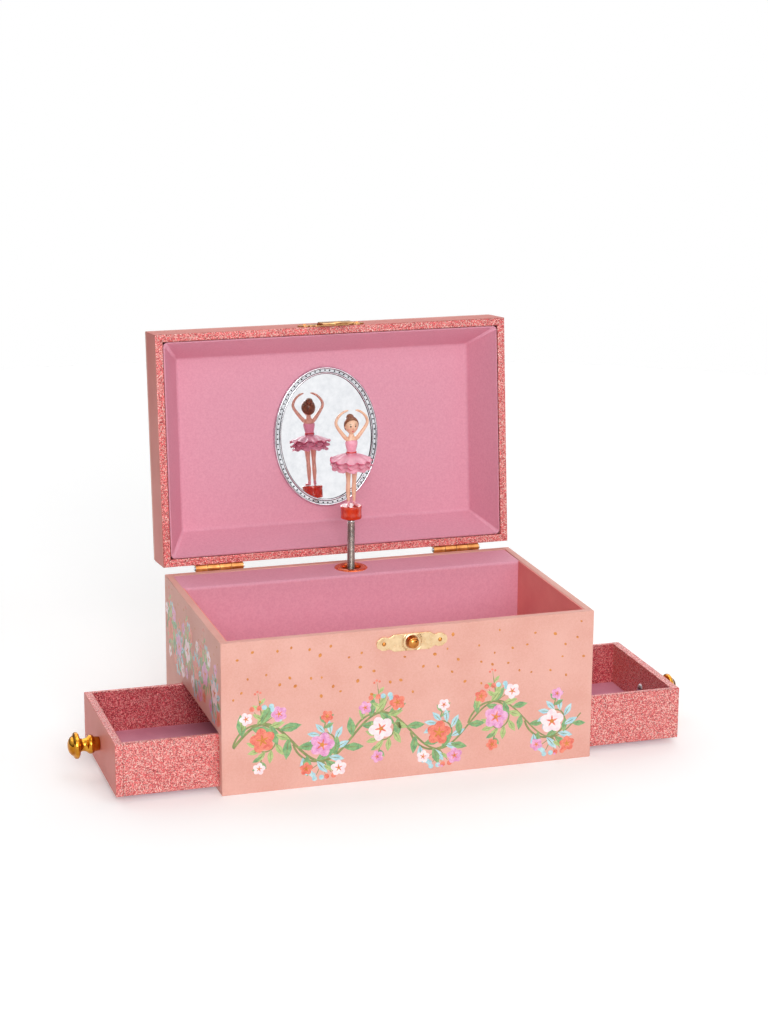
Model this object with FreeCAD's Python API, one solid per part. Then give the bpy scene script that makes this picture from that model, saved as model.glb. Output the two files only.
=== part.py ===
import FreeCAD, Part
import math
import os
from FreeCAD import Vector

# Musical jewellery box with a lid mirror, two side drawers and a dancer on a spring.
# The origin is the centre of the underside: +X to the right along the front, +Y to the back, +Z up.
# The lid is drawn shut and then swung open on its hinge pins, and the drawers stand part way out.
# All sizes are in millimetres and all angles in degrees.

# Case
BODY_WIDTH = 200.0
BODY_DEPTH = 128.0
BODY_HEIGHT = 80.8
WALL = 4.0
BASE_BOARD = 3.0
DECK_BOARD = 2.5
LINING = 0.6
LINING_DROP = 0.3
FLOOR_PAD = 0.8

# Drawers and what guides them
DRAWER_HEIGHT = 28.0
DRAWER_FRONT_INSET = 5.8
DRAWER_REAR_SPACE = 8.1
DRAWER_PULL = 53.0
DRAWER_END_BOARD = 4.2
DRAWER_SIDE_BOARD = 2.6
DRAWER_FLOOR = 2.0
DRAWER_FLOOR_RISE = 3.3
DRAWER_SIDE_GAP = 0.4
DRAWER_UNDER_GAP = 0.3
DRAWER_STOP_GAP = 0.5
DIVIDER_BOARD = 4.0
RAIL_BOARD = 2.5

# Drawer knobs and their screws
KNOB_LENGTH = 16.5
KNOB_FOOT_RADIUS = 3.6
KNOB_FOOT_LENGTH = 3.0
KNOB_COLLAR_RADIUS = 5.0
KNOB_COLLAR_LENGTH = 3.4
KNOB_NECK_RADIUS = 4.0
KNOB_WAIST_RADIUS = 3.2
KNOB_HEAD_RADIUS = 7.0
KNOB_HEAD_LENGTH = 6.0
KNOB_HEAD_EDGE = 1.6
KNOB_SCREW_RADIUS = 1.5
KNOB_SCREW_REACH = 8.0
KNOB_SCREW_HEAD_RADIUS = 3.0
KNOB_SCREW_HEAD = 1.8

# Rear well for the musical movement
WELL_DEPTH = 21.6
PARTITION_BOARD = 2.4
LEDGE_BOARD = 2.4
LEDGE_DROP = 0.4
LEDGE_EDGE_ROUND = 1.6

# Lid, its card tray and its mirror
LID_HEIGHT = 26.1
LID_SET_BACK = 0.6
LID_GAP = 0.35
LID_WALL = 4.2
LID_TOP_BOARD = 3.5
LID_OPEN_ANGLE = 95.64
TRAY_CARD = 0.8
TRAY_TAPER = 10.5
TRAY_RECESS = 0.5
TRAY_SIDE_GAP = 0.2
MIRROR_WIDTH = 60.6
MIRROR_HEIGHT = 78.8
MIRROR_RIM = 3.8
MIRROR_FRAME_DEPTH = 2.2
MIRROR_REBATE = 1.4
MIRROR_GLASS = 1.2
GLASS_GAP = 0.1

# Hinges
HINGE_WIDTH = 27.0
HINGE_INSET = 31.2
HINGE_BEHIND_BACK = 2.0
HINGE_ABOVE_RIM = 1.04
HINGE_LEAF = 0.8
HINGE_LEAF_HEIGHT = 13.0
HINGE_NAIL_DROP = 8.5
HINGE_NAIL_SPREAD = 16.0
KNUCKLE_COUNT = 4
KNUCKLE_RADIUS = 1.9
KNUCKLE_GAP = 0.3
PIN_RADIUS = 0.8
PIN_CLEARANCE = 0.05
PIN_HEAD_RADIUS = 1.2
PIN_HEAD = 0.5

# Lock plate, its stud, and the forked hasp that drops over the stud
LOCK_WIDTH = 38.0
LOCK_HEIGHT = 9.0
LOCK_END_HEIGHT = 6.5
LOCK_MIDDLE_WIDTH = 18.0
LOCK_PLATE = 0.8
LOCK_DROP = 7.7
LOCK_BOSS_RADIUS = 5.2
LOCK_BOSS = 0.4
LOCK_NAIL_SPREAD = 30.0
STUD_NECK_RADIUS = 1.4
STUD_HEAD_RADIUS = 2.9
STUD_HEAD = 1.6
STUD_SHANK_RADIUS = 1.0
STUD_SHANK = 2.5
HASP_RISE = 5.6
HASP_TONGUE_WIDTH = 18.0
HASP_TONGUE = 0.7
HASP_TONGUE_GAP = 0.15
HASP_TIP_REACH = 3.2
HASP_HEAD_GAP = 0.6
HASP_NOTCH_GAP = 0.5

# Round-headed nails for the hinges, lock plate and hasp
NAIL_HEAD_RADIUS = 1.1
NAIL_HEAD = 0.6
NAIL_SHANK_RADIUS = 0.5
NAIL_SHANK = 3.0
DRIVEN_CLEARANCE = 0.03

# Dancer's spindle ring, spring, cap and plug
SPINDLE_X = 2.0
SPINDLE_FROM_BACK = 10.0
RING_RADIUS = 9.2
RING_BORE_RADIUS = 5.35
RING_SLEEVE = 0.6
RING_FLANGE = 0.8
RING_FIT = 0.05
SPRING_RISE = 26.2
SPRING_FOOT_DEPTH = 2.4
SPRING_RADIUS = 1.85
SPRING_WIRE = 0.7
SPRING_GAP = 0.46
SPRING_BEND = 0.9
CAP_SKIRT = 0.7
CAP_DOME = 0.9
CAP_PIN_RADIUS = 0.8
CAP_PIN_SHOW = 0.5
CAP_PIN_REACH = 4.0
CAP_PIN_CLEARANCE = 0.05
PLUG_RADIUS = 5.95
PLUG_HEIGHT = 7.1

# Dancer, heights from the top of the plug
FOOT_SPREAD = 1.6
FOOT_LENGTH = 3.4
FOOT_TURN_OUT = 1.2
FOOT_SINK = 0.2
HEEL_RADIUS = 1.2
TOE_RADIUS = 0.8
ANKLE_RADIUS = 0.95
JOINT_SWELL = 1.06
THIGH_RADIUS = 2.2
HIP_HEIGHT = 25.0
HIP_SPREAD = 1.9
WAIST_HEIGHT = 30.2
SHOULDER_HEIGHT = 38.2
HIP_WIDTH = 8.2
WAIST_WIDTH = 5.2
BUST_WIDTH = 7.0
SHOULDER_WIDTH = 8.0
TORSO_FLATNESS = 0.72
NECK_RADIUS = 1.25
HEAD_CENTRE_HEIGHT = 44.6
HEAD_WIDTH = 7.8
HEAD_HEIGHT = 9.6
BUN_RADIUS = 2.3
BUN_BACK = 2.8
BUN_HEIGHT = 48.4
UPPER_ARM_RADIUS = 1.25
ARM_RADIUS = 1.05
ELBOW_REACH = 9.6
ELBOW_HEIGHT = 46.0
HAND_REACH = 3.2
HAND_HEIGHT = 53.2
HAND_RADIUS = 0.85
TUTU_RADIUS = 12.0
TUTU_HUB_RADIUS = 4.3
TUTU_HUB = 3.4
TUTU_TOP_HEIGHT = 29.4
TUTU_DROOP = 6.6
TUTU_HEM = 1.7
TUTU_CROWN = 1.2
TUTU_HOLLOW = 1.6

# Musical movement: cast bedplate with two arms and a comb step
BEDPLATE = 2.0
BEDPLATE_LEFT = 27.0
BEDPLATE_RIGHT = 26.0
BEDPLATE_FLOOR_GAP = 2.0
MOVEMENT_HEAD_ROOM = 8.0
ARM_PLATE = 2.0
ARM_REACH = 12.5
ARM_LEFT = 20.0
ARM_RIGHT = 5.0
ARBOR_RADIUS = 1.0
ARBOR_CLEARANCE = 0.05
STACK_GAP = 1.2

# Comb
COMB_TEETH = 18
COMB_SLOT = 0.3
COMB_TOOTH_LENGTH = 10.0
COMB_ROOT = 7.0
COMB_PLATE = 1.2
COMB_TIP_GAP = 0.25
COMB_END_MARGIN = 0.6

# Pinned tune cylinder and its arbor
DRUM_RADIUS = 6.4
DRUM_END_MARGIN = 1.0
DRUM_FIT = 0.02
TUNE_PIN_RADIUS = 0.25
TUNE_PIN_HEIGHT = 0.6
TUNE_PINS_PER_TRACK = 4
TUNE_PIN_STEP_ANGLE = 137.5
SPINDLE_FLANGE_RADIUS = 2.6
SPINDLE_FLANGE = 1.0

# Gears: a contrate wheel on the spring barrel, and two spur pairs up to the fly
CONTRATE_TEETH = 36
CONTRATE_MODULE = 0.75
CONTRATE_FACE = 2.4
CONTRATE_WEB = 1.4
CONTRATE_TOOTH = 0.62
DRUM_PINION_TEETH = 8
TRAIN_MODULE = 0.4
WHEEL_TEETH = 36
PINION_TEETH = 9
WHEEL_FACE = 1.6
PINION_FACE = 2.4
TOOTH_TIP = 0.8
TOOTH_ROOT = 1.15
TIP_SHARE = 0.22
ROOT_SHARE = 0.6
FLY_RADIUS = 6.0
FLY_VANE = 0.5
FLY_HEIGHT = 14.0

# Spring barrel, mainspring and winding key
BARREL_RADIUS = 11.0
BARREL_LENGTH = 13.0
BARREL_WALL = 0.8
BARREL_FLOOR_GAP = 2.0
MAINSPRING_STRIP = 0.5
MAINSPRING_STEP = 1.5
MAINSPRING_TURNS = 4
MAINSPRING_END_GAP = 1.0
WINDING_RADIUS = 2.0
WINDING_FIT = 0.02
BUSH_WALL = 1.2
BUSH_FLANGE_RADIUS = 6.0
BUSH_FLANGE = 0.8
BUSH_CLEARANCE = 0.05
KEY_STAND_OFF = 1.5
KEY_BOSS_RADIUS = 3.6
KEY_BOSS_LENGTH = 6.0
KEY_WING_RADIUS = 5.5
KEY_WING_SPREAD = 6.0
KEY_WING_LENGTH = 11.0
KEY_PLATE = 2.2
KEY_SOCKET = 4.0

# Cheese-head screws of the movement
SCREW_RADIUS = 1.0
SCREW_HEAD_RADIUS = 1.9
SCREW_HEAD = 1.2
SCREW_LENGTH = 5.0
SCREW_EDGE = 3.5

# Places worked out from the sizes above
HALF_WIDTH = BODY_WIDTH / 2
HALF_DEPTH = BODY_DEPTH / 2
INNER_X = HALF_WIDTH - WALL
INNER_Y = HALF_DEPTH - WALL
HINGE_OFFSET = HALF_WIDTH - HINGE_INSET
PARTITION_BACK = INNER_Y - WELL_DEPTH
PARTITION_FRONT = PARTITION_BACK - PARTITION_BOARD
DRAWER_FRONT_Y = -HALF_DEPTH + DRAWER_FRONT_INSET
DRAWER_BACK_Y = PARTITION_FRONT - DRAWER_REAR_SPACE - RAIL_BOARD - DRAWER_SIDE_GAP
DRAWER_BOTTOM = BASE_BOARD + DRAWER_UNDER_GAP
DRAWER_TOP = DRAWER_BOTTOM + DRAWER_HEIGHT
DRAWER_FLOOR_BOTTOM = DRAWER_BOTTOM + DRAWER_FLOOR_RISE
DRAWER_LENGTH = HALF_WIDTH - DIVIDER_BOARD / 2 - DRAWER_STOP_GAP
KNOB_Y = (DRAWER_FRONT_Y + DRAWER_BACK_Y) / 2
KNOB_Z = (DRAWER_BOTTOM + DRAWER_TOP) / 2
DECK_BOTTOM = DRAWER_TOP + DRAWER_SIDE_GAP
DECK_TOP = DECK_BOTTOM + DECK_BOARD
LEDGE_TOP = BODY_HEIGHT - LEDGE_DROP
LEDGE_BOTTOM = LEDGE_TOP - LEDGE_BOARD
SPINDLE_Y = INNER_Y - SPINDLE_FROM_BACK
HINGE_Y = HALF_DEPTH + HINGE_BEHIND_BACK
HINGE_Z = BODY_HEIGHT + HINGE_ABOVE_RIM
LID_RIM = BODY_HEIGHT + LID_GAP
LID_TOP = LID_RIM + LID_HEIGHT
LID_FRONT = -HALF_DEPTH + LID_SET_BACK
LID_CEILING = LID_TOP - LID_TOP_BOARD
TRAY_BACK = LID_CEILING - TRAY_CARD
LID_MIDDLE_Y = (LID_FRONT + HALF_DEPTH) / 2
LOCK_Z = BODY_HEIGHT - LOCK_DROP
LOCK_FACE = -HALF_DEPTH - LOCK_PLATE
TONGUE_BACK = LOCK_FACE - LOCK_BOSS - HASP_TONGUE_GAP
TONGUE_FRONT = TONGUE_BACK - HASP_TONGUE
SPRING_FOOT = LEDGE_TOP - SPRING_FOOT_DEPTH
SPRING_TOP = LEDGE_TOP + SPRING_RISE
CAP_TOP = SPRING_TOP + CAP_SKIRT + CAP_DOME
PLUG_BOTTOM = CAP_TOP + CAP_PIN_SHOW
PLUG_TOP = PLUG_BOTTOM + PLUG_HEIGHT

# Places in the movement, stacked up from the barrel
BEDPLATE_FRONT = INNER_Y - BEDPLATE
CONTRATE_RADIUS = CONTRATE_MODULE * CONTRATE_TEETH / 2
DRUM_PINION_RADIUS = CONTRATE_MODULE * DRUM_PINION_TEETH / 2
CONTRATE_OUTER = CONTRATE_RADIUS + CONTRATE_FACE / 2
CONTRATE_PITCH_Y = SPINDLE_Y + DRUM_PINION_RADIUS
CONTRATE_ROOT_Y = CONTRATE_PITCH_Y + TOOTH_ROOT * CONTRATE_MODULE
CONTRATE_TIP_Y = CONTRATE_PITCH_Y - TOOTH_TIP * CONTRATE_MODULE
KEY_Z = BASE_BOARD + BARREL_FLOOR_GAP + CONTRATE_OUTER
BARREL_FRONT = CONTRATE_ROOT_Y - BARREL_LENGTH
DRUM_PINION_Z = KEY_Z + CONTRATE_RADIUS - CONTRATE_FACE / 2
LOWER_ARM = DRUM_PINION_Z + CONTRATE_FACE + STACK_GAP
DRUM_BOTTOM = LOWER_ARM + ARM_PLATE + STACK_GAP
UPPER_ARM = LEDGE_BOTTOM - MOVEMENT_HEAD_ROOM - ARM_PLATE
TRAIN_WHEEL_Z = UPPER_ARM - STACK_GAP - PINION_FACE
WHEEL_Z = TRAIN_WHEEL_Z - STACK_GAP - PINION_FACE
DRUM_TOP = WHEEL_Z - STACK_GAP
WHEEL_RADIUS = TRAIN_MODULE * WHEEL_TEETH / 2
PINION_RADIUS = TRAIN_MODULE * PINION_TEETH / 2
TRAIN_X = SPINDLE_X - WHEEL_RADIUS - PINION_RADIUS
FLY_X = TRAIN_X - WHEEL_RADIUS - PINION_RADIUS
COMB_TIP_X = SPINDLE_X + DRUM_RADIUS + TUNE_PIN_HEIGHT + COMB_TIP_GAP
COMB_ROOT_X = COMB_TIP_X + COMB_TOOTH_LENGTH
COMB_BOTTOM = DRUM_BOTTOM + DRUM_END_MARGIN
COMB_TOP = DRUM_TOP - DRUM_END_MARGIN
COMB_TOOTH_PITCH = (COMB_TOP - COMB_BOTTOM - 2 * COMB_END_MARGIN + COMB_SLOT) / COMB_TEETH
COMB_TOOTH_WIDTH = COMB_TOOTH_PITCH - COMB_SLOT
COMB_BACK = SPINDLE_Y + COMB_PLATE / 2
BUSH_RADIUS = WINDING_RADIUS + BUSH_CLEARANCE + BUSH_WALL
KEY_FRONT = HALF_DEPTH + BUSH_FLANGE + KEY_STAND_OFF
KEY_BACK = KEY_FRONT + KEY_BOSS_LENGTH + KEY_WING_LENGTH

X_AXIS = Vector(1, 0, 0)
Y_AXIS = Vector(0, 1, 0)
Z_AXIS = Vector(0, 0, 1)
SAME_PLACE = 0.001


def block(x_range, y_range, z_range):
    """A board with square edges between two places on each axis."""
    corner = Vector(x_range[0], y_range[0], z_range[0])
    return Part.makeBox(
        x_range[1] - x_range[0], y_range[1] - y_range[0], z_range[1] - z_range[0], corner)


def rod(radius, start, end):
    """A round rod between two points."""
    along = end.sub(start)
    return Part.makeCylinder(radius, along.Length, start, along)


def plate(points, thickness):
    """A flat sheet with straight edges, pushed out along the vector thickness."""
    outline = Part.makePolygon(points + [points[0]])
    return Part.Face(outline).extrude(thickness)


def turned(start, steps, base, axis):
    """A lathe piece from (radius, height) points; a pair of points is an arc through the first."""
    edges = []
    here = Vector(start[0], 0, start[1])
    for step in steps:
        if isinstance(step[0], tuple):
            middle = Vector(step[0][0], 0, step[0][1])
            there = Vector(step[1][0], 0, step[1][1])
            edges.append(Part.Arc(here, middle, there).toShape())
        else:
            there = Vector(step[0], 0, step[1])
            edges.append(Part.LineSegment(here, there).toShape())
        here = there
    edges.append(Part.LineSegment(here, Vector(start[0], 0, start[1])).toShape())
    solid = Part.Face(Part.Wire(edges)).revolve(Vector(0, 0, 0), Z_AXIS, 360)
    solid.Placement = FreeCAD.Placement(base, FreeCAD.Rotation(Z_AXIS, axis))
    return solid


def dome(radius, base, top):
    """The arc of a round cap from its edge at (radius, base) to its crown on the axis."""
    height = top - base
    sphere = (radius * radius + height * height) / (2 * height)
    half_angle = math.asin(min(1, radius / sphere)) / 2
    middle = (sphere * math.sin(half_angle), top - sphere * (1 - math.cos(half_angle)))
    return middle, (0, top)


def joined(shapes):
    """Several overlapping shapes made into one."""
    return shapes[0].multiFuse(shapes[1:]).removeSplitter()


def group(shapes):
    """Separate solids of one kind kept together."""
    return Part.makeCompound(shapes)


def opened(shape):
    """A piece of the shut lid, swung to where the lid stands open."""
    swung = shape.copy()
    swung.rotate(Vector(0, HINGE_Y, HINGE_Z), X_AXIS, -LID_OPEN_ANGLE)
    return swung


def nail(place, inward):
    """A round-headed nail whose head bears at place and whose shank runs inward."""
    outward = inward.negative()
    head = dome(NAIL_HEAD_RADIUS, 0, NAIL_HEAD)
    steps = [(NAIL_SHANK_RADIUS, -NAIL_SHANK), (NAIL_SHANK_RADIUS, 0), (NAIL_HEAD_RADIUS, 0), head]
    return turned((0, -NAIL_SHANK), steps, place, outward)


def nail_hole(place, inward):
    """The hole that a nail makes in what it is driven into."""
    depth = inward * (NAIL_SHANK + DRIVEN_CLEARANCE)
    return rod(NAIL_SHANK_RADIUS + DRIVEN_CLEARANCE, place, place.add(depth))


def lock_nail_places():
    """Where the two nails of the lock plate bear on it."""
    spread = LOCK_NAIL_SPREAD / 2
    return [Vector(x, LOCK_FACE, LOCK_Z) for x in (-spread, spread)]


def hinge_nail_places(side, shut_height):
    """Where the nails of one hinge leaf bear on it, at a height on the shut box."""
    middle = side * HINGE_OFFSET
    spread = HINGE_NAIL_SPREAD / 2
    return [Vector(middle + x, HALF_DEPTH + HINGE_LEAF, shut_height) for x in (-spread, spread)]


def body_hinge_nail_places():
    """Nails of both leaves that are fixed to the case."""
    height = HINGE_Z - HINGE_NAIL_DROP
    return [place for side in (-1, 1) for place in hinge_nail_places(side, height)]


def lid_hinge_nail_places():
    """Nails of both leaves that are fixed to the lid, with the lid shut."""
    height = HINGE_Z + HINGE_NAIL_DROP
    return [place for side in (-1, 1) for place in hinge_nail_places(side, height)]


def hasp_nail_places():
    """Nails of the hasp, with the lid shut."""
    spread = LOCK_NAIL_SPREAD / 2
    return [Vector(x, LID_FRONT - LOCK_PLATE, LID_RIM + HASP_RISE) for x in (-spread, spread)]


def bedplate_screw_places():
    """Where the heads of the four screws bear on the bedplate."""
    left = SPINDLE_X - BEDPLATE_LEFT + SCREW_EDGE
    right = SPINDLE_X + BEDPLATE_RIGHT - SCREW_EDGE
    low = BASE_BOARD + BEDPLATE_FLOOR_GAP + SCREW_EDGE
    high = UPPER_ARM + ARM_PLATE - SCREW_EDGE
    return [Vector(x, BEDPLATE_FRONT, z) for x in (left, right) for z in (low, high)]


def comb_screw_places():
    """Where the heads of the two comb screws bear on the comb."""
    x = COMB_ROOT_X + COMB_ROOT / 2
    front = COMB_BACK - COMB_PLATE
    return [Vector(x, front, z) for z in (COMB_BOTTOM + SCREW_EDGE, COMB_TOP - SCREW_EDGE)]


def screw(place):
    """A cheese-head screw driven towards the back."""
    shank = rod(SCREW_RADIUS, place, place.add(Y_AXIS * SCREW_LENGTH))
    head = rod(SCREW_HEAD_RADIUS, place, place.sub(Y_AXIS * SCREW_HEAD))
    slot_half = SCREW_RADIUS / 4
    slot = block(
        (place.x - SCREW_HEAD_RADIUS, place.x + SCREW_HEAD_RADIUS),
        (place.y - SCREW_HEAD, place.y - SCREW_HEAD / 2),
        (place.z - slot_half, place.z + slot_half))
    return joined([shank, head]).cut(slot)


def screw_hole(place):
    """The hole for the shank of one screw."""
    depth = Y_AXIS * (SCREW_LENGTH + DRIVEN_CLEARANCE)
    return rod(SCREW_RADIUS + DRIVEN_CLEARANCE, place, place.add(depth))


def base_board():
    return block((-INNER_X, INNER_X), (-INNER_Y, INNER_Y), (0, BASE_BOARD))


def front_panel():
    panel = block((-HALF_WIDTH, HALF_WIDTH), (-HALF_DEPTH, -INNER_Y), (0, BODY_HEIGHT))
    stud_end = Vector(0, -HALF_DEPTH + STUD_SHANK + DRIVEN_CLEARANCE, LOCK_Z)
    holes = [rod(STUD_SHANK_RADIUS + DRIVEN_CLEARANCE, Vector(0, LOCK_FACE, LOCK_Z), stud_end)]
    holes += [nail_hole(place, Y_AXIS) for place in lock_nail_places()]
    return panel.cut(holes)


def back_panel():
    panel = block((-HALF_WIDTH, HALF_WIDTH), (INNER_Y, HALF_DEPTH), (0, BODY_HEIGHT))
    bush_hole = rod(
        BUSH_RADIUS + WINDING_FIT,
        Vector(SPINDLE_X, INNER_Y, KEY_Z), Vector(SPINDLE_X, HALF_DEPTH, KEY_Z))
    holes = [bush_hole]
    holes += [nail_hole(place, Y_AXIS.negative()) for place in body_hinge_nail_places()]
    holes += [screw_hole(place) for place in bedplate_screw_places()]
    return panel.cut(holes)


def side_panel(side):
    """A side of the case with the mouth that its drawer runs through."""
    x_range = sorted((side * INNER_X, side * HALF_WIDTH))
    panel = block(x_range, (-INNER_Y, INNER_Y), (0, BODY_HEIGHT))
    mouth_y = (DRAWER_FRONT_Y - DRAWER_SIDE_GAP, DRAWER_BACK_Y + DRAWER_SIDE_GAP)
    return panel.cut(block(x_range, mouth_y, (BASE_BOARD, DECK_BOTTOM)))


def drawer_front_rail():
    back = DRAWER_FRONT_Y - DRAWER_SIDE_GAP
    return block((-INNER_X, INNER_X), (-INNER_Y, back), (BASE_BOARD, DECK_BOTTOM))


def drawer_rear_rail():
    front = DRAWER_BACK_Y + DRAWER_SIDE_GAP
    return block((-INNER_X, INNER_X), (front, front + RAIL_BOARD), (BASE_BOARD, DECK_BOTTOM))


def drawer_divider():
    half = DIVIDER_BOARD / 2
    y_range = (DRAWER_FRONT_Y - DRAWER_SIDE_GAP, DRAWER_BACK_Y + DRAWER_SIDE_GAP)
    return block((-half, half), y_range, (BASE_BOARD, DECK_BOTTOM))


def compartment_deck():
    return block((-INNER_X, INNER_X), (-INNER_Y, PARTITION_FRONT), (DECK_BOTTOM, DECK_TOP))


def well_partition():
    return block((-INNER_X, INNER_X), (PARTITION_FRONT, PARTITION_BACK), (BASE_BOARD, LEDGE_BOTTOM))


def ledge_top():
    """The board over the rear well, rounded along its front edge and bored for the spindle ring."""
    board = block((-INNER_X, INNER_X), (PARTITION_FRONT, INNER_Y), (LEDGE_BOTTOM, LEDGE_TOP))
    middle = Vector(0, PARTITION_FRONT, LEDGE_TOP)
    front_edges = [edge for edge in board.Edges if edge.CenterOfMass.isEqual(middle, SAME_PLACE)]
    board = board.makeFillet(LEDGE_EDGE_ROUND, front_edges)
    hole = rod(
        RING_BORE_RADIUS + RING_SLEEVE + RING_FIT,
        Vector(SPINDLE_X, SPINDLE_Y, LEDGE_BOTTOM), Vector(SPINDLE_X, SPINDLE_Y, LEDGE_TOP))
    return board.cut(hole)


def compartment_lining():
    """Folded card inside the front and both sides of the main compartment."""
    z_range = (DECK_TOP, BODY_HEIGHT - LINING_DROP)
    outside = block((-INNER_X, INNER_X), (-INNER_Y, PARTITION_FRONT), z_range)
    inside = block((-INNER_X + LINING, INNER_X - LINING), (-INNER_Y + LINING, PARTITION_FRONT), z_range)
    return outside.cut(inside)


def compartment_floor_pad():
    return block(
        (-INNER_X + LINING, INNER_X - LINING), (-INNER_Y + LINING, PARTITION_FRONT),
        (DECK_TOP, DECK_TOP + FLOOR_PAD))


def spindle_ring():
    """Eyelet that trims the hole in the ledge: a rounded flange on a short sleeve."""
    sleeve = RING_BORE_RADIUS + RING_SLEEVE
    middle = (RING_RADIUS + RING_BORE_RADIUS) / 2
    crown = ((middle, RING_FLANGE), (RING_BORE_RADIUS, 0))
    steps = [(sleeve, -LEDGE_BOARD), (sleeve, 0), (RING_RADIUS, 0), crown]
    return turned((RING_BORE_RADIUS, -LEDGE_BOARD), steps, Vector(SPINDLE_X, SPINDLE_Y, LEDGE_TOP), Z_AXIS)


def fancy_plate(face_y, height):
    """The brass outline of the lock plate and hasp: a taller middle between two round ends."""
    end_radius = LOCK_END_HEIGHT / 2
    end_x = LOCK_WIDTH / 2 - end_radius
    y_range = (face_y - LOCK_PLATE, face_y)
    shapes = [block((-end_x, end_x), y_range, (height - end_radius, height + end_radius))]
    for x in (-end_x, end_x):
        shapes.append(rod(end_radius, Vector(x, y_range[0], height), Vector(x, face_y, height)))
    middle = block(
        (-LOCK_MIDDLE_WIDTH / 2, LOCK_MIDDLE_WIDTH / 2), y_range,
        (height - LOCK_HEIGHT / 2, height + LOCK_HEIGHT / 2))
    half_plate = face_y - LOCK_PLATE / 2
    corners = [edge for edge in middle.Edges if abs(edge.CenterOfMass.y - half_plate) < SAME_PLACE]
    shapes.append(middle.makeFillet((LOCK_HEIGHT - LOCK_END_HEIGHT) / 2, corners))
    return joined(shapes)


def lock_plate():
    boss = rod(LOCK_BOSS_RADIUS, Vector(0, LOCK_FACE - LOCK_BOSS, LOCK_Z), Vector(0, LOCK_FACE, LOCK_Z))
    sheet = joined([fancy_plate(-HALF_DEPTH, LOCK_Z), boss])
    front = Vector(0, LOCK_FACE - LOCK_BOSS, LOCK_Z)
    holes = [rod(STUD_SHANK_RADIUS + DRIVEN_CLEARANCE, front, Vector(0, -HALF_DEPTH, LOCK_Z))]
    holes += [nail_hole(place, Y_AXIS) for place in lock_nail_places()]
    return sheet.cut(holes)


def lock_stud():
    """Domed stud on a neck that leaves room behind its head for the hasp."""
    base = Vector(0, LOCK_FACE - LOCK_BOSS, LOCK_Z)
    foot = -(LOCK_PLATE + LOCK_BOSS + STUD_SHANK)
    neck = HASP_TONGUE_GAP + HASP_TONGUE + HASP_HEAD_GAP
    steps = [
        (STUD_SHANK_RADIUS, foot), (STUD_SHANK_RADIUS, 0), (STUD_NECK_RADIUS, 0), (STUD_NECK_RADIUS, neck),
        (STUD_HEAD_RADIUS, neck), dome(STUD_HEAD_RADIUS, neck, neck + STUD_HEAD)]
    return turned((0, foot), steps, base, Y_AXIS.negative())


def box_nails():
    nails = [nail(place, Y_AXIS) for place in lock_nail_places()]
    nails += [nail(place, Y_AXIS.negative()) for place in body_hinge_nail_places()]
    return group(nails)


def knuckle_range(side, index):
    """The stretch along the pin that one knuckle of a hinge takes up."""
    length = HINGE_WIDTH / KNUCKLE_COUNT
    start = side * HINGE_OFFSET - HINGE_WIDTH / 2 + index * length
    return start, start + length


def hinge_leaf(side, on_lid):
    """One leaf of a hinge, with the lid shut: a plate, its knuckles, and room for the other knuckles."""
    direction = 1 if on_lid else -1
    middle = side * HINGE_OFFSET
    z_range = sorted((HINGE_Z, HINGE_Z + direction * HINGE_LEAF_HEIGHT))
    y_range = (HALF_DEPTH, HALF_DEPTH + HINGE_LEAF)
    leaf = block((middle - HINGE_WIDTH / 2, middle + HINGE_WIDTH / 2), y_range, z_range)
    own = [index for index in range(KNUCKLE_COUNT) if index % 2 == int(on_lid)]
    other = [index for index in range(KNUCKLE_COUNT) if index % 2 != int(on_lid)]
    window = sorted((HINGE_Z, HINGE_Z + direction * (KNUCKLE_RADIUS + KNUCKLE_GAP)))
    for index in other:
        start, end = knuckle_range(side, index)
        leaf = leaf.cut(block((start - KNUCKLE_GAP / 2, end + KNUCKLE_GAP / 2), y_range, window))
    shapes = [leaf]
    for index in own:
        start, end = knuckle_range(side, index)
        shapes.append(rod(
            KNUCKLE_RADIUS, Vector(start + KNUCKLE_GAP / 2, HINGE_Y, HINGE_Z),
            Vector(end - KNUCKLE_GAP / 2, HINGE_Y, HINGE_Z)))
    bore = rod(
        PIN_RADIUS + PIN_CLEARANCE, Vector(middle - HINGE_WIDTH, HINGE_Y, HINGE_Z),
        Vector(middle + HINGE_WIDTH, HINGE_Y, HINGE_Z))
    nails = hinge_nail_places(side, HINGE_Z + direction * HINGE_NAIL_DROP)
    holes = [bore] + [nail_hole(place, Y_AXIS.negative()) for place in nails]
    return joined(shapes).cut(holes)


def hinge_pins():
    """A headed pin through the knuckles of each hinge."""
    pins = []
    for side in (-1, 1):
        half = HINGE_WIDTH / 2
        middle = Vector(side * HINGE_OFFSET, HINGE_Y, HINGE_Z)
        shank = rod(PIN_RADIUS, middle.sub(X_AXIS * half), middle.add(X_AXIS * half))
        heads = []
        for outward in (X_AXIS, X_AXIS.negative()):
            start = middle.add(outward * half)
            heads.append(rod(PIN_HEAD_RADIUS, start, start.add(outward * PIN_HEAD)))
        pins.append(joined([shank] + heads))
    return group(pins)


def lid_top_board():
    return block((-HALF_WIDTH, HALF_WIDTH), (LID_FRONT, HALF_DEPTH), (LID_CEILING, LID_TOP))


def lid_corners(inset):
    """Corners of the lid's outline, moved in by inset, in order from front left."""
    left, right = -HALF_WIDTH + inset, HALF_WIDTH - inset
    front, back = LID_FRONT + inset, HALF_DEPTH - inset
    return [(left, front), (right, front), (right, back), (left, back)]


def lid_wall(index, holes):
    """One mitred wall of the lid: 0 front, 1 right, 2 back, 3 left."""
    outer, inner = lid_corners(0), lid_corners(LID_WALL)
    following = (index + 1) % 4
    outline = [outer[index], outer[following], inner[following], inner[index]]
    points = [Vector(x, y, LID_RIM) for x, y in outline]
    wall = plate(points, Z_AXIS * (LID_CEILING - LID_RIM))
    return wall.cut(holes) if holes else wall


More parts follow.
